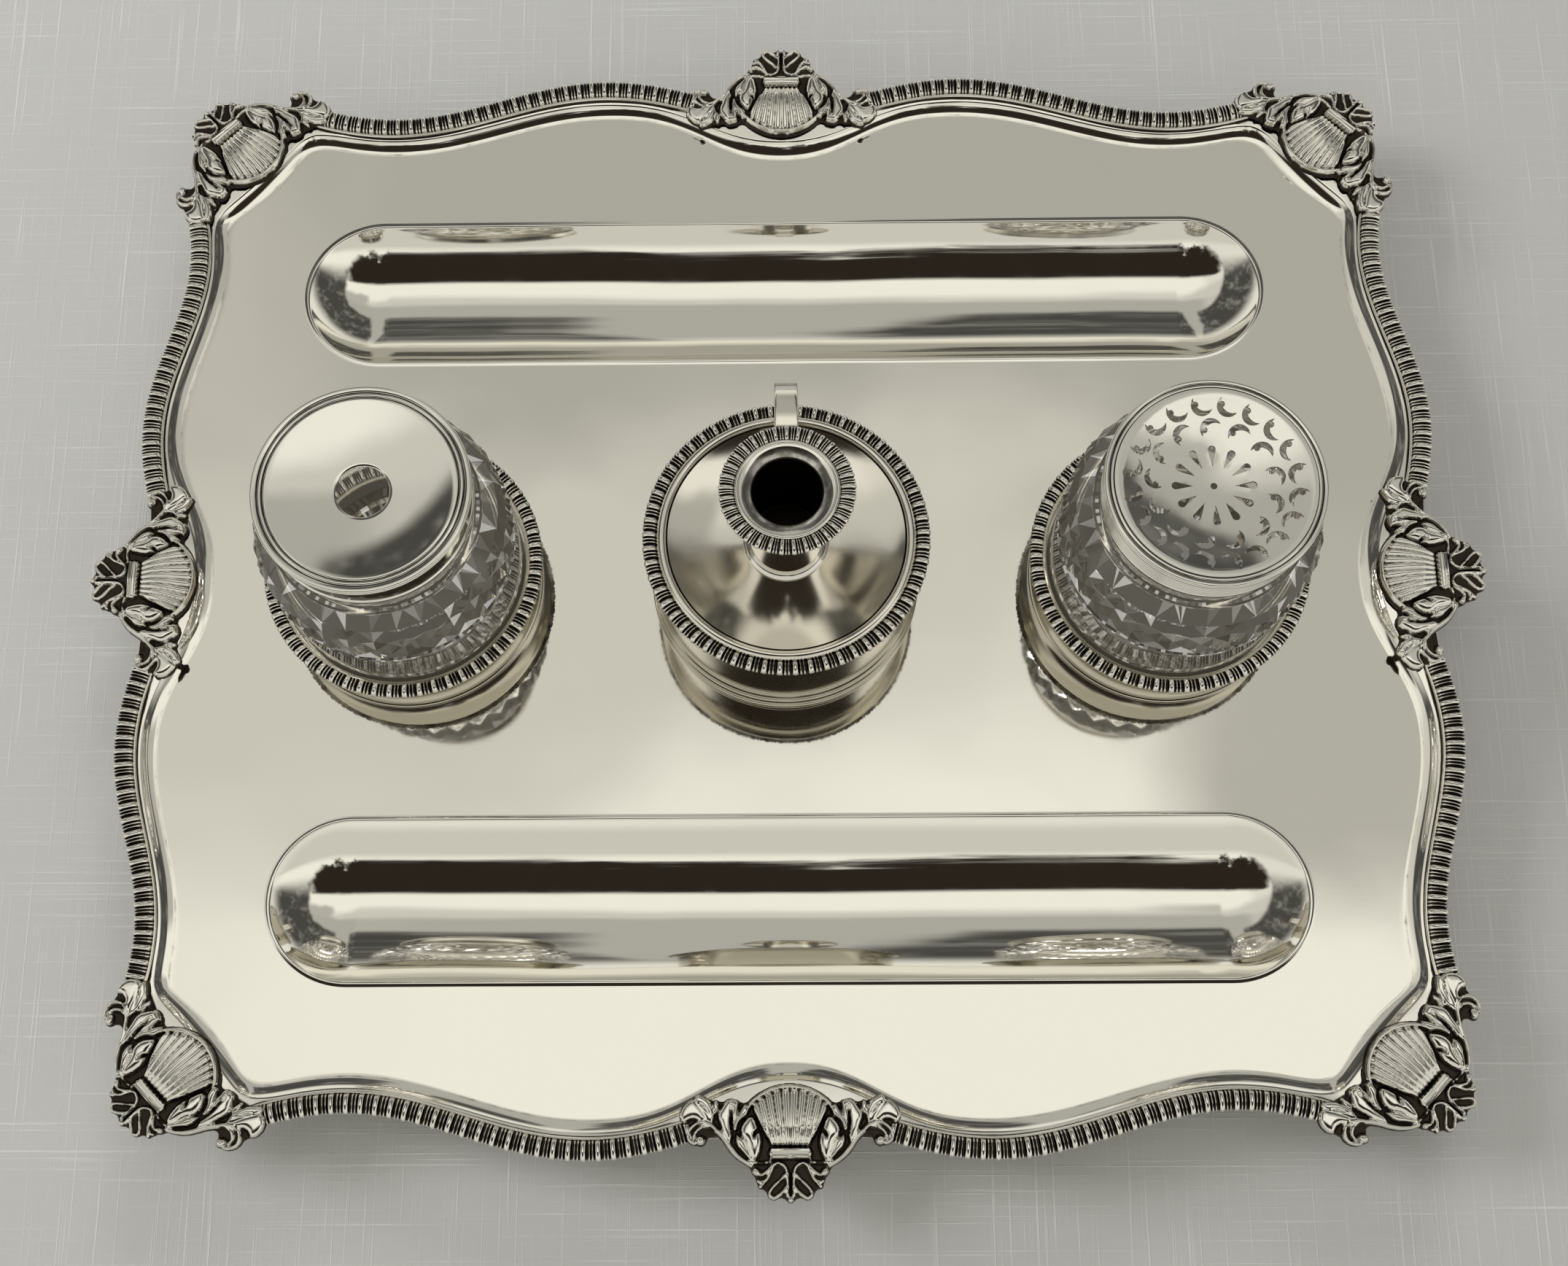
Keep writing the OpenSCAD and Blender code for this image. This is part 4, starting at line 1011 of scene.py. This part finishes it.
def paint_glints(mesh):
    """Marks the few small facets that get a painted glint, a glow that stands in for the
    light a cut band throws back: a face attribute "glint", chosen from each facet's own
    direction by a wrapped sine."""
    count = len(mesh.polygons)
    normal, area = np.zeros(count * 3, np.float32), np.zeros(count, np.float32)
    mesh.polygons.foreach_get("normal", normal)
    mesh.polygons.foreach_get("area", area)
    n = normal.reshape(-1, 3)
    pick = np.mod(np.sin(n @ np.array([91.7, 57.3, 33.1])) * 437.5, 1)
    slanted = (area > 0.6e-6) & (area < 6e-6) & (np.abs(n[:, 2]) > 0.12)
    strength = np.select([pick > 0.86, pick > 0.66, pick > 0.4], [0.42, 0.16, 0.05])
    mark(mesh, "glint", "FACE", slanted * strength)


def bottle(name, x):
    """A bottle: plain wall, cut band, neck and cavity, in one closed skin."""
    bore, bottom = NECK_R - NECK_WALL, FLOOR_Z + GLASS_BASE
    low = rounded([(0, FLOOR_Z, 0), (GLASS_R - 1.5, FLOOR_Z, 0.5), (GLASS_R, FLOOR_Z + 1.5, 0.5),
                   (GLASS_R, CUT_Z - 0.9, 0.4)], 3)
    low = np.concatenate([low, [[GLASS_R - 0.15, CUT_Z - 0.25]]])
    high = rounded([(NECK_R + 2.2, NECK_Z, 0), (NECK_R + 2.0, NECK_Z + 0.6, 0.2), (NECK_R, NECK_Z + 1.0, 0.3),
                    (NECK_R, CAP_SEAT, 0.4), (bore + MOUTH, CAP_SEAT, 0.3), (bore, CAP_SEAT - MOUTH, 0.3),
                    (bore, bottom, 5), (0, bottom, 0)])[1:]
    lattice = cut_lattice()
    blocks = [ring_rows(low[1:], SIDES_GLASS), split(lattice[0]), lattice[1:-1], split(lattice[-1]),
              ring_rows(high[:-1], SIDES_GLASS), [[0, 0, low[0, 1]], [0, 0, high[-1, 1]]]]
    blocks = [np.reshape(block, (-1, 3)) for block in blocks]
    low_edge, band, high_edge, _, poles = np.cumsum([len(block) for block in blocks[:-1]])
    q, c = np.arange(N_CUT), np.arange(SIDES_GLASS)
    q1, c1 = (q + 1) % N_CUT, (c + 1) % SIDES_GLASS
    faces = [grid_faces(len(low), SIDES_GLASS, wrap_cols=True)]

    def seam(edge, row, up):
        """Triangles between a parted ring and the row of corners next to it."""
        e = [edge + (SPLIT * q + s) % SIDES_GLASS for s in range(SPLIT + 1)]
        tip = row + np.where(up, q1, q)
        fan = [np.stack([e[s], e[s + 1], tip], 1) for s in range(SPLIT)]
        return np.concatenate(fan + [np.stack([np.where(up, e[0], e[SPLIT]), row + q1, row + q], 1)])

    for row in range(1, ROWS_CUT - 1):
        p00, p01 = band + (row - 1) * N_CUT + q, band + (row - 1) * N_CUT + q1
        p10, p11 = p00 + N_CUT, p01 + N_CUT
        up = ((q + row) % 2 == 0)[:, None]
        faces.append(np.where(up, np.stack([p00, p01, p10], 1), np.stack([p00, p01, p11], 1)))
        faces.append(np.where(up, np.stack([p01, p11, p10], 1), np.stack([p00, p11, p10], 1)))
    faces.append(seam(low_edge, band, q % 2 == 0))
    faces.append(seam(high_edge, band + (ROWS_CUT - 2) * N_CUT, (q + ROWS_CUT) % 2 == 0)[:, ::-1])
    faces.append(high_edge + grid_faces(len(high), SIDES_GLASS, wrap_cols=True))
    pole, last = np.full(SIDES_GLASS, poles), poles - SIDES_GLASS
    faces += [np.stack([pole, c1, c], 1), np.stack([pole + 1, last + c, last + c1], 1)]
    glass = lay(f"{name}_glass", np.concatenate(blocks) + [x, 0, 0], faces, angle=12)
    paint_glints(glass.data)
    finish_piece(glass, name, cut_glass, name)


bottle("ink_bottle", -BOTTLE_X)
bottle("pounce_bottle", BOTTLE_X)
print("bottles cut")

# %% [markdown]
# ## Shell mounts
# The eight mounts are cast: a fluted fan under an arched rim, a collar, a crest of nested
# flutes, and on each side leaves, a curling stem and a small ball. They are modelled like
# a wax. A pad is a leaf with a rolled edge, a stroke is a rounded ridge along a line, and
# a cut is carved out again. The wax keeps the highest of them at every spot, over a low
# ground. One half is drawn and the other is its mirror.

# %% Wax of a mount
# in (v, u) points: v is sideways from the middle of the mount, u is outward
PADS = [  # (outline, height, width of the rolled edge)
    ([(9.4, -7.9), (10.6, -7.3), (11.8, -5.8), (12.2, -4.3), (11.9, -2.8), (11, -1.8), (10.5, -0.5),
      (10.1, 1), (9.1, 2.5), (7.8, 2), (7.1, 0), (6.9, -2.1), (7.3, -3.7), (8, -5.6),
      (8.5, -6.9)], 3.2, 1.9),
    ([(13, -3.6), (13.4, -2.1), (12.8, -0.4), (11.6, 0.9), (10.5, 2.1), (9.5, 3), (9.1, 2.4),
      (10, 0.9), (10.5, -0.6), (11.1, -2), (12.1, -2.8)], 2.9, 1.0),
    ([(11, -10.6), (11.9, -9.8), (12.5, -8.6), (13.4, -7.2), (13.9, -5.8), (14, -4.6), (13.2, -4.2),
      (12.7, -5.8), (11.8, -7), (10.6, -7.9), (10.1, -8.9), (10.2, -9.9)], 2.7, 0.9),
    ([(12.5, -11.3), (13.7, -11.8), (15.1, -11.9), (16.1, -11), (16.9, -9.7), (17.6, -8.5),
      (17.6, -7.1), (17.1, -5.7), (16.7, -4.4), (15.9, -3), (14.8, -1.5), (14.1, -2.6), (14.1, -3.9),
      (13.9, -5.8), (13.3, -7.3), (12.8, -8.5), (12.7, -10)], 2.9, 1.5),
    ([(17.5, -10.7), (18.2, -11.7), (18.8, -10.8), (18.9, -9.4), (18.6, -8.2), (17.9, -8.8),
      (17.4, -9.8)], 2.1, 0.7),
    ([(23, -13), (21.5, -12.7), (20, -11.7), (19.1, -10.3), (18.6, -8.6), (18.7, -7.1), (19.1, -6.1),
      (20.1, -6.5), (20.7, -7.3), (21.4, -8.6), (22.8, -10.5), (23.4, -11.8)], 2.4, 1.0),
    ([(23.6, -11.8), (24.9, -11.4), (26.1, -10.3), (26.9, -8.8), (26.9, -7.3), (26.2, -6.3),
      (25.3, -6.6), (24.2, -7.1), (23, -7.1), (22.3, -6.5), (20.8, -6.3), (19.8, -6.6), (20.6, -8.3),
      (21.8, -10.1)], 2.5, 1.6),
]
STROKES = [  # (points, half widths, heights)
    ([(9.4, 3.8), (11.2, 2.7), (13.3, 1.1), (14.7, -0.6), (15.9, -2.4), (17, -3.7), (18.3, -4.8),
      (19.7, -5.9), (21.2, -6.4)], (0.75, 0.8), (2.2, 2.6)),
    ([(21, -6.4), (22.5, -6.1), (23.7, -5.4), (24.7, -4.3), (25, -3.1), (24.4, -1.9),
      (23.3, -1.4)], (0.6, 0.5), (2.4, 2.2)),
    ([(19.6, -5.4), (21.3, -5.3), (22.5, -4.6), (23.3, -3.6), (23.5, -2.5)], (0.5, 0.45), (2.2, 2.2)),
    ([(21.8, -2.0), (22, -2.0)], (1.25, 1.25), (2.8, 2.8)),
    ([(0.75, 11.2), (0.7, 7.8), (0.9, 5.4), (1.7, 4), (3.1, 3.5), (4.4, 4.1), (5.4, 5.1), (6.9, 6.2),
      (8, 6)], (0.5, 0.55), (2.3, 2.3)),
    ([(8.2, 5.6), (8.5, 5.4)], (0.95, 0.95), (2.6, 2.6)),
    ([(1.2, 6.0), (2.3, 7.3), (3.7, 8.6), (4.8, 9.8), (5.1, 11)], (0.42, 0.42), (2.1, 1.9)),
    ([(0.9, 8.9), (1.8, 10.2), (3, 11.2), (4.1, 11.8), (5, 11.3)], (0.5, 0.5), (2.1, 1.9)),
    ([(4.2, 4.4), (5, 5.9), (5.6, 7.1), (6.6, 8.3), (7.4, 9.1)], (0.45, 0.45), (2.2, 1.9)),
    ([(6.3, 7.6), (7.4, 8), (8, 7.6)], (0.35, 0.35), (1.9, 1.9)),
    ([(0, 12.2), (0, 12.25)], (0.8, 0.8), (2.0, 2.0)),
    ([(0, 0.05), (4.7, 0.1)], (0.4, 0.35), (3.3, 3.1)),
    ([(0, 2.15), (4.9, 2.2)], (0.45, 0.4), (3.1, 2.8)),
    ([(0, 1.1), (4.6, 1.1)], (1.1, 1.0), (2.5, 2.3)),
    ([(4.9, 3.1), (7.3, 3.4), (9.6, 3.0)], (0.4, 0.5), (2.0, 2.2)),
]
CUTS = [  # outlines that are carved down to the ground
    [(17.9, -8.8), (18.4, -7.9), (18.5, -6.6), (18.1, -5.1), (17.2, -4.4), (16.9, -5.1), (17.5, -6.4),
     (17.8, -7.7)],
    [(14.45, -10.9), (14.7, -8.5), (14.9, -6.6), (14.8, -5.1), (14.3, -3.5), (13.95, -4.3),
     (14.1, -6.2), (14.05, -8.1), (14.1, -9.6)],
    [(10, 2.6), (11, 2.7), (12.5, 1.5), (13.7, 0), (14.6, -1.7), (14.2, -3.2), (13.5, -3.6),
     (13.6, -2), (13, -0.4), (11.6, 1.1)],
    [(9.8, -8.5), (11.1, -7.7), (12.3, -6.6), (12.8, -5.1), (13, -3.6), (12.3, -2.7), (11.5, -2.1),
     (12, -3.6), (12.1, -4.7), (11.5, -6), (10.6, -7.2), (9.5, -7.9)],
    [(22.4, -6.0), (23.5, -5.4), (24.3, -4.3), (24.4, -3.2), (24, -3.4), (23.4, -4.5), (22.1, -5.4),
     (20.8, -5.8)],
    [(7.7, -4.9), (8.6, -4.3), (9.1, -3.4), (8.8, -2.3), (8.3, -3.3), (7.6, -4.2)],
    [(22.3, -11.0), (21.4, -10), (20, -8.5), (19.4, -7.2), (19.7, -8.4), (20.8, -10), (21.8, -10.9)],
]


def smooth_path(points, per=8, closed=False):
    """A Catmull-Rom curve through the points."""
    p = np.array(points, float)
    before, after = (p[-1:], p[:2]) if closed else ([2 * p[0] - p[1]], [2 * p[-1] - p[-2]])
    p = np.concatenate([before, p, after])
    t = (np.arange(per) / per)[:, None]
    out = [0.5 * (2 * b + (c - a) * t + (2 * a - 5 * b + 4 * c - d) * t**2 + (3 * b - a - 3 * c + d) * t**3)
           for a, b, c, d in zip(p[:-3], p[1:-2], p[2:-1], p[3:])]
    return np.concatenate(out + ([] if closed else [p[-2:-1]]))


def nearest(v, u, path):
    """Distance from every grid point to a path, and how far along the path it is."""
    a, b = path[:-1], path[1:]
    d = b - a
    best, along = np.full(v.shape, 1e9), np.zeros(v.shape)
    for k in range(len(a)):
        t = np.clip(((v - a[k, 0]) * d[k, 0] + (u - a[k, 1]) * d[k, 1]) / (d[k] @ d[k] + 1e-12), 0, 1)
        dist = np.hypot(v - a[k, 0] - t * d[k, 0], u - a[k, 1] - t * d[k, 1])
        closer = dist < best
        best, along = np.where(closer, dist, best), np.where(closer, (k + t) / len(a), along)
    return best, along


def stroke_height(v, u, points, widths, heights):
    """Height of a ridge: h sqrt(1 - (d / w)^2), d the distance from its line; w and h
    change evenly from its start to its end."""
    best, along = nearest(v, u, smooth_path(points))
    w = widths[0] + (widths[1] - widths[0]) * along
    h = heights[0] + (heights[1] - heights[0]) * along
    return h * half_round(best / w)


def inner_depth(v, u, outline):
    """How deep inside a closed outline each grid point lies; 0 outside it."""
    loop = smooth_path(outline, 5, True)
    inside = within(np.column_stack([v.ravel(), u.ravel()]), loop).reshape(v.shape)
    return nearest(v, u, np.concatenate([loop, loop[:1]]))[0] * inside


STEP = 0.22
gv, gu = np.meshgrid(np.arange(0, 29.5, STEP), np.arange(-18.2, 15.8, STEP), indexing="ij")
wax = np.zeros(gv.shape)
for outline, top, roll in PADS:
    inside = inner_depth(gv, gu, outline)
    wax = np.maximum(wax, (inside > 0) * (1.5 + (top - 1.5) * half_round(1 - np.minimum(1, inside / roll))))
for points, widths, heights in STROKES:
    wax = np.maximum(wax, stroke_height(gv, gu, points, widths, heights))
carved = np.zeros(gv.shape)
for outline in CUTS:
    carved = np.maximum(carved, np.minimum(1, inner_depth(gv, gu, outline) / 0.2))
wax = wax * (1 - carved) + np.minimum(wax, 0.95) * carved

# the fan: ribs that spread from a far centre, swelling near the collar, under an arched rim
down = -0.8 - gu
ray = gv / (1.22 + 0.073 * down)
rib = half_round(2.15 * (ray - np.floor(ray) - 0.5))
from_top = np.hypot(gv, gu + 1.7)
swell = 2.1 + 1.5 * np.sin(np.clip(down / 12.6, 0, 1) ** 0.75 * np.pi)
in_fan = (from_top < 12.15 + 0.35 * rib) & (gu < -0.7) & (gv < 4.75 + 0.5 * down) & (gv < 9.0)
wax = np.where(in_fan, swell - 1.1 * (1 - rib), wax)
sides_of_fan = (gv > 4.75 + 0.5 * down) & (gv < 5.3 + 0.5 * down) & (gu > -9) & (gu < -1)
wax = np.where(sides_of_fan, np.minimum(wax, 1.0), wax)
wax = np.maximum(wax, 2.8 * half_round((from_top - 13.25) / 0.7) * (gu < -9.3) * (gv < 10.2))
flute = in_fan * np.clip((0.62 - rib) / 0.3, 0, 1)

# the half is mirrored into a whole
wax, flute, gu = [np.concatenate([field[:0:-1], field]) for field in (wax, flute, gu)]
gv = np.concatenate([-gv[:0:-1], gv])


def spread(field, reach):
    """Replaces each value by the highest within "reach" grid steps."""
    out = field.copy()
    for i in range(-reach, reach + 1):
        for j in range(-reach, reach + 1):
            if i * i + j * j <= reach * reach:
                out = np.maximum(out, np.roll(field, (i, j), (0, 1)))
    return out


def blur(field):
    """Averages each value with its neighbours, first one way and then the other."""
    for axis in (0, 1):
        field = (field + np.roll(field, 1, axis) + np.roll(field, -1, axis)) / 3
    return field


# a low ground fills the small gaps between the leaves; hollows and the low ground are marked dark, for
# tarnish and for painted shade of the deep gaps
solid = spread((wax > 0.5).astype(float), 8)
ground = 1 - spread(1 - solid, 7)
wax = np.maximum(wax, 0.85 * (ground > 0.5))
hollow_map = np.clip((spread(wax, 4) - wax - 0.85) / 0.6, 0, 1) * (1 - 0.7 * (flute > 0)) + flute
# painted shade: all that lies lower than 0.9 mm, the ground and the foot of each leaf, is marked fully dark,
# fading out by 1.3 mm
hollow_map = np.maximum(hollow_map, np.clip(1.3 - wax, 0, 0.4) * 2.5)
collar = (np.abs(gv) < 4.4) & (gu > 0.4) & (gu < 1.85)
hollow_map = blur(np.maximum(hollow_map, 0.35 * collar))
wax = blur(wax) * (0.6 + 0.4 * (wax > 0.3))

# the wax is cut out along a contour: points just outside are drawn in to lie on it
CONTOUR = 0.35
raised = wax >= CONTOUR
slope = np.stack(np.gradient(wax, STEP))
shift = np.clip((CONTOUR - wax) / (slope[0] ** 2 + slope[1] ** 2 + 1e-6), -3, 3)
step_v, step_u = np.clip(shift * slope, -STEP, STEP) * ~raised
keep = raised[:-1, :-1] | raised[1:, :-1] | raised[:-1, 1:] | raised[1:, 1:]
used, quads = np.unique(grid_faces(*wax.shape)[keep.ravel()][:, [0, 3, 2, 1]], return_inverse=True)
quads = quads.reshape(-1, 4)
wax_v, wax_u = (gv + step_v).ravel()[used], (gu + step_u).ravel()[used]
wax_h = np.maximum(wax, CONTOUR * 0.5).ravel()[used]
wax_dark = hollow_map.ravel()[used]
edges = np.concatenate([quads[:, [k, (k + 1) % 4]] for k in range(4)])
_, first_seen, counts = np.unique(np.sort(edges, 1), axis=0, return_index=True, return_counts=True)
rim_edges = edges[first_seen[counts == 1]]
print("mount faces:", len(quads), "height", wax_h.max().round(2), "outward reach", wax_u.max().round(2))

# %% Casting the mounts
def mount(label, origin, along, out, corner=False):
    """Casts one mount from the wax: "along" and "out" are its two directions on the tray.
    A corner's fan is longer, its crest shorter, and its sprays bend back with the border."""
    v, u = wax_v, np.where(wax_u > 3, 3 + (0.82 if corner else 0.98) * (wax_u - 3), wax_u)
    if corner:
        u = np.where(u < -1, -1 + 1.12 * (u + 1), u) - 1.7 * np.clip((np.abs(v) - 8) / 14, 0, 1.3) ** 2
        v = v * 0.97
    xy = np.array(origin) + v[:, None] * np.array(along) + u[:, None] * np.array(out)
    n = len(v)
    pts = np.concatenate([np.column_stack([xy, z]) for z in (FLANGE_Z + wax_h, np.full(n, FLANGE_Z))])
    a, b = rim_edges.T
    faces = [quads, quads[:, ::-1] + n, np.stack([b, a, a + n, b + n], 1)]
    if along[0] * out[1] - along[1] * out[0] < 0:
        faces = [f[:, ::-1] for f in faces]
    # the lower points are marked fully dark, so the sides darken down to the flange: painted shade along the
    # mount's foot
    piece = lay(f"shell_mount_{label}", pts, faces, np.concatenate([wax_dark, np.ones(n)]), angle=75)
    finish_piece(piece, "tray", cast_silver, f"mount_{label}")


MIDDLE_X, MIDDLE_Y, CORNER_AT, DIAGONAL = 172, 148.25, np.array([156.8, 134.0]), np.sqrt(0.5)
mount("back", (0, MIDDLE_Y), (1, 0), (0, 1))
mount("front", (0, -MIDDLE_Y), (1, 0), (0, -1))
mount("left", (-MIDDLE_X, 0), (0, 1), (-1, 0))
mount("right", (MIDDLE_X, 0), (0, 1), (1, 0))
for a, b, mirror in QUARTERS:
    mount(f"{a}_{b}", CORNER_AT * mirror, mirror * [-DIAGONAL, DIAGONAL], mirror * DIAGONAL, corner=True)
print("mounts cast")

# %% [markdown]
# ## Table, sky and lamps
# Silver shows its surroundings, so the surroundings do most of the work. The sky is a
# formula of direction: pale screens above, greyer to the back and right, a dim streaked
# room behind with a light lane in its middle, and one dark opening in front. Two soft
# lamps, on the left and at the back, shape the shadows and are not mirrored. The table is
# a plain pale plane with a fine weave.

# %% Table
TABLE = 4000
corners = [(-TABLE, -TABLE, 0), (TABLE, -TABLE, 0), (TABLE, TABLE, 0), (-TABLE, TABLE, 0)]
table = lay("pale_table", corners, np.array([[0, 1, 2, 3]]), smooth=False)
cloth, tree, shader = new_material("pale_cloth")
where = position(tree)
weft, warp = [ease(noise(stretched(where, thread), 1.0, 2.0, 0.6), 0.55, 0.74)
              for thread in ((14.0, 1300.0, 1.0), (1300.0, 14.0, 1.0))]
feed(shader.inputs["Roughness"], 0.9)
weave = blend(weft.math("MAXIMUM", warp), (0.63, 0.63, 0.62, 1), (0.78, 0.78, 0.77, 1))
feed(shader.inputs["Base Color"], weave)
feed(shader.inputs["Normal"], bump(weft + warp, 0.0002, 0.5))
table.data.materials.append(cloth)

# %% Sky
world = bpy.data.worlds.new("studio")
bpy.context.scene.world = world
world.use_nodes = True
tree = world.node_tree
way = Signal(node(tree, "ShaderNodeTexCoord"), "Generated")
xyz = node(tree, "ShaderNodeSeparateXYZ", {"Vector": way})
height = Signal(xyz, "Z")
up = height.math("MAXIMUM", 0.05)
u, v = Signal(xyz, "X") / up, Signal(xyz, "Y") / up


def wavy(scale, amount):
    """Noise round 0 that bends the edges of the screens."""
    return (noise(way, scale, 3.0, 0.55) - 0.5) * amount


def toward(level, mask, value):
    """Moves a brightness toward a value where the mask is 1."""
    return blend(mask, level, value, "FLOAT")


broad, small, tiny = wavy(1.6, 0.42), wavy(6.0, 0.20), wavy(15.0, 0.10)
u_bent, v_bent = u + broad, v + broad * 0.5 + small * 0.35

# the pale ceiling: brightest straight above, in soft screens to the left, back and right
left = ease(u_bent, -0.50, -0.22, 1.0, 0.0)
level = toward(0.97, left, 0.82)
level = toward(level, ease(v_bent - u * 0.22, 0.16, 0.34), 0.66)
level = toward(level, ease(u_bent, 0.14, 0.30) * ease(v_bent, 0.12, 0.24), 0.50)
level = toward(level, ease(v_bent, 0.35, 0.46), toward(0.46, left, 0.60))
level = toward(level, ease(u_bent, -0.66, -0.5, 1.0, 0.0) * ease(v_bent, 0.5, 0.64), 0.36)
level = toward(level, ease(v, -1.1, -0.8, 1.0, 0.0), 0.66)

# the dim room behind the tray, streaked, with one light lane in the middle
streaks = toward(0.07, ease(small + tiny, -0.01, 0.07), 0.28)
away = (u_bent * u_bent + v_bent * v_bent).math("SQRT")
lane = ease(abs(u_bent), 0.10, 0.22)
level = toward(level, ease(away, 0.76, 0.90) * ease(v, -0.6, 0.1) * lane, streaks)

# the dark opening in front, with leaning sides and a ragged near edge
side = abs(u) + abs(v + 0.32) * 0.55 + small * 1.8
near_edge, far_edge = v + small * 4.0 + tiny * 4.0, v + small * 0.25
inside_v = ease(near_edge, -0.88, -0.66) * ease(far_edge, -0.10, -0.02, 1.0, 0.0)
opening = ease(side, 0.70, 0.98, 1.0, 0.0) * inside_v

level = toward(level, ease(height, 0.12, 0.36, 1.0, 0.0), 0.85)
grey = node(tree, "ShaderNodeCombineColor", {"Red": level, "Green": level * 0.985, "Blue": level * 0.9})
feed(tree.nodes["Background"].inputs["Color"], blend(opening, Signal(grey), (0.026, 0.02, 0.015, 1)))
feed(tree.nodes["Background"].inputs["Strength"], 1.0)


# %% Lamps
def lamp(name, place, size, power):
    """A square soft lamp that faces the middle of the tray."""
    light = bpy.data.objects.new(name, bpy.data.lights.new(name, "AREA"))
    light.data.size, light.data.energy = size, power
    light.visible_glossy = False
    bpy.context.scene.collection.objects.link(light)
    z = np.array(place) / np.linalg.norm(place)
    x = np.cross([0, 0, 1], z)
    x /= np.linalg.norm(x)
    light.matrix_world = Matrix([*np.stack([x, np.cross(z, x), z, place], 1), [0, 0, 0, 1]])


lamp("left_lamp", (-1.5, 0.35, 1.15), 0.7, 14)
lamp("back_lamp", (0.3, 1.9, 1.3), 0.8, 10)
bpy.context.scene.view_settings.view_transform = "Standard"
print("lit")

# %% Number of pieces
print("pieces:", len(made_pieces))
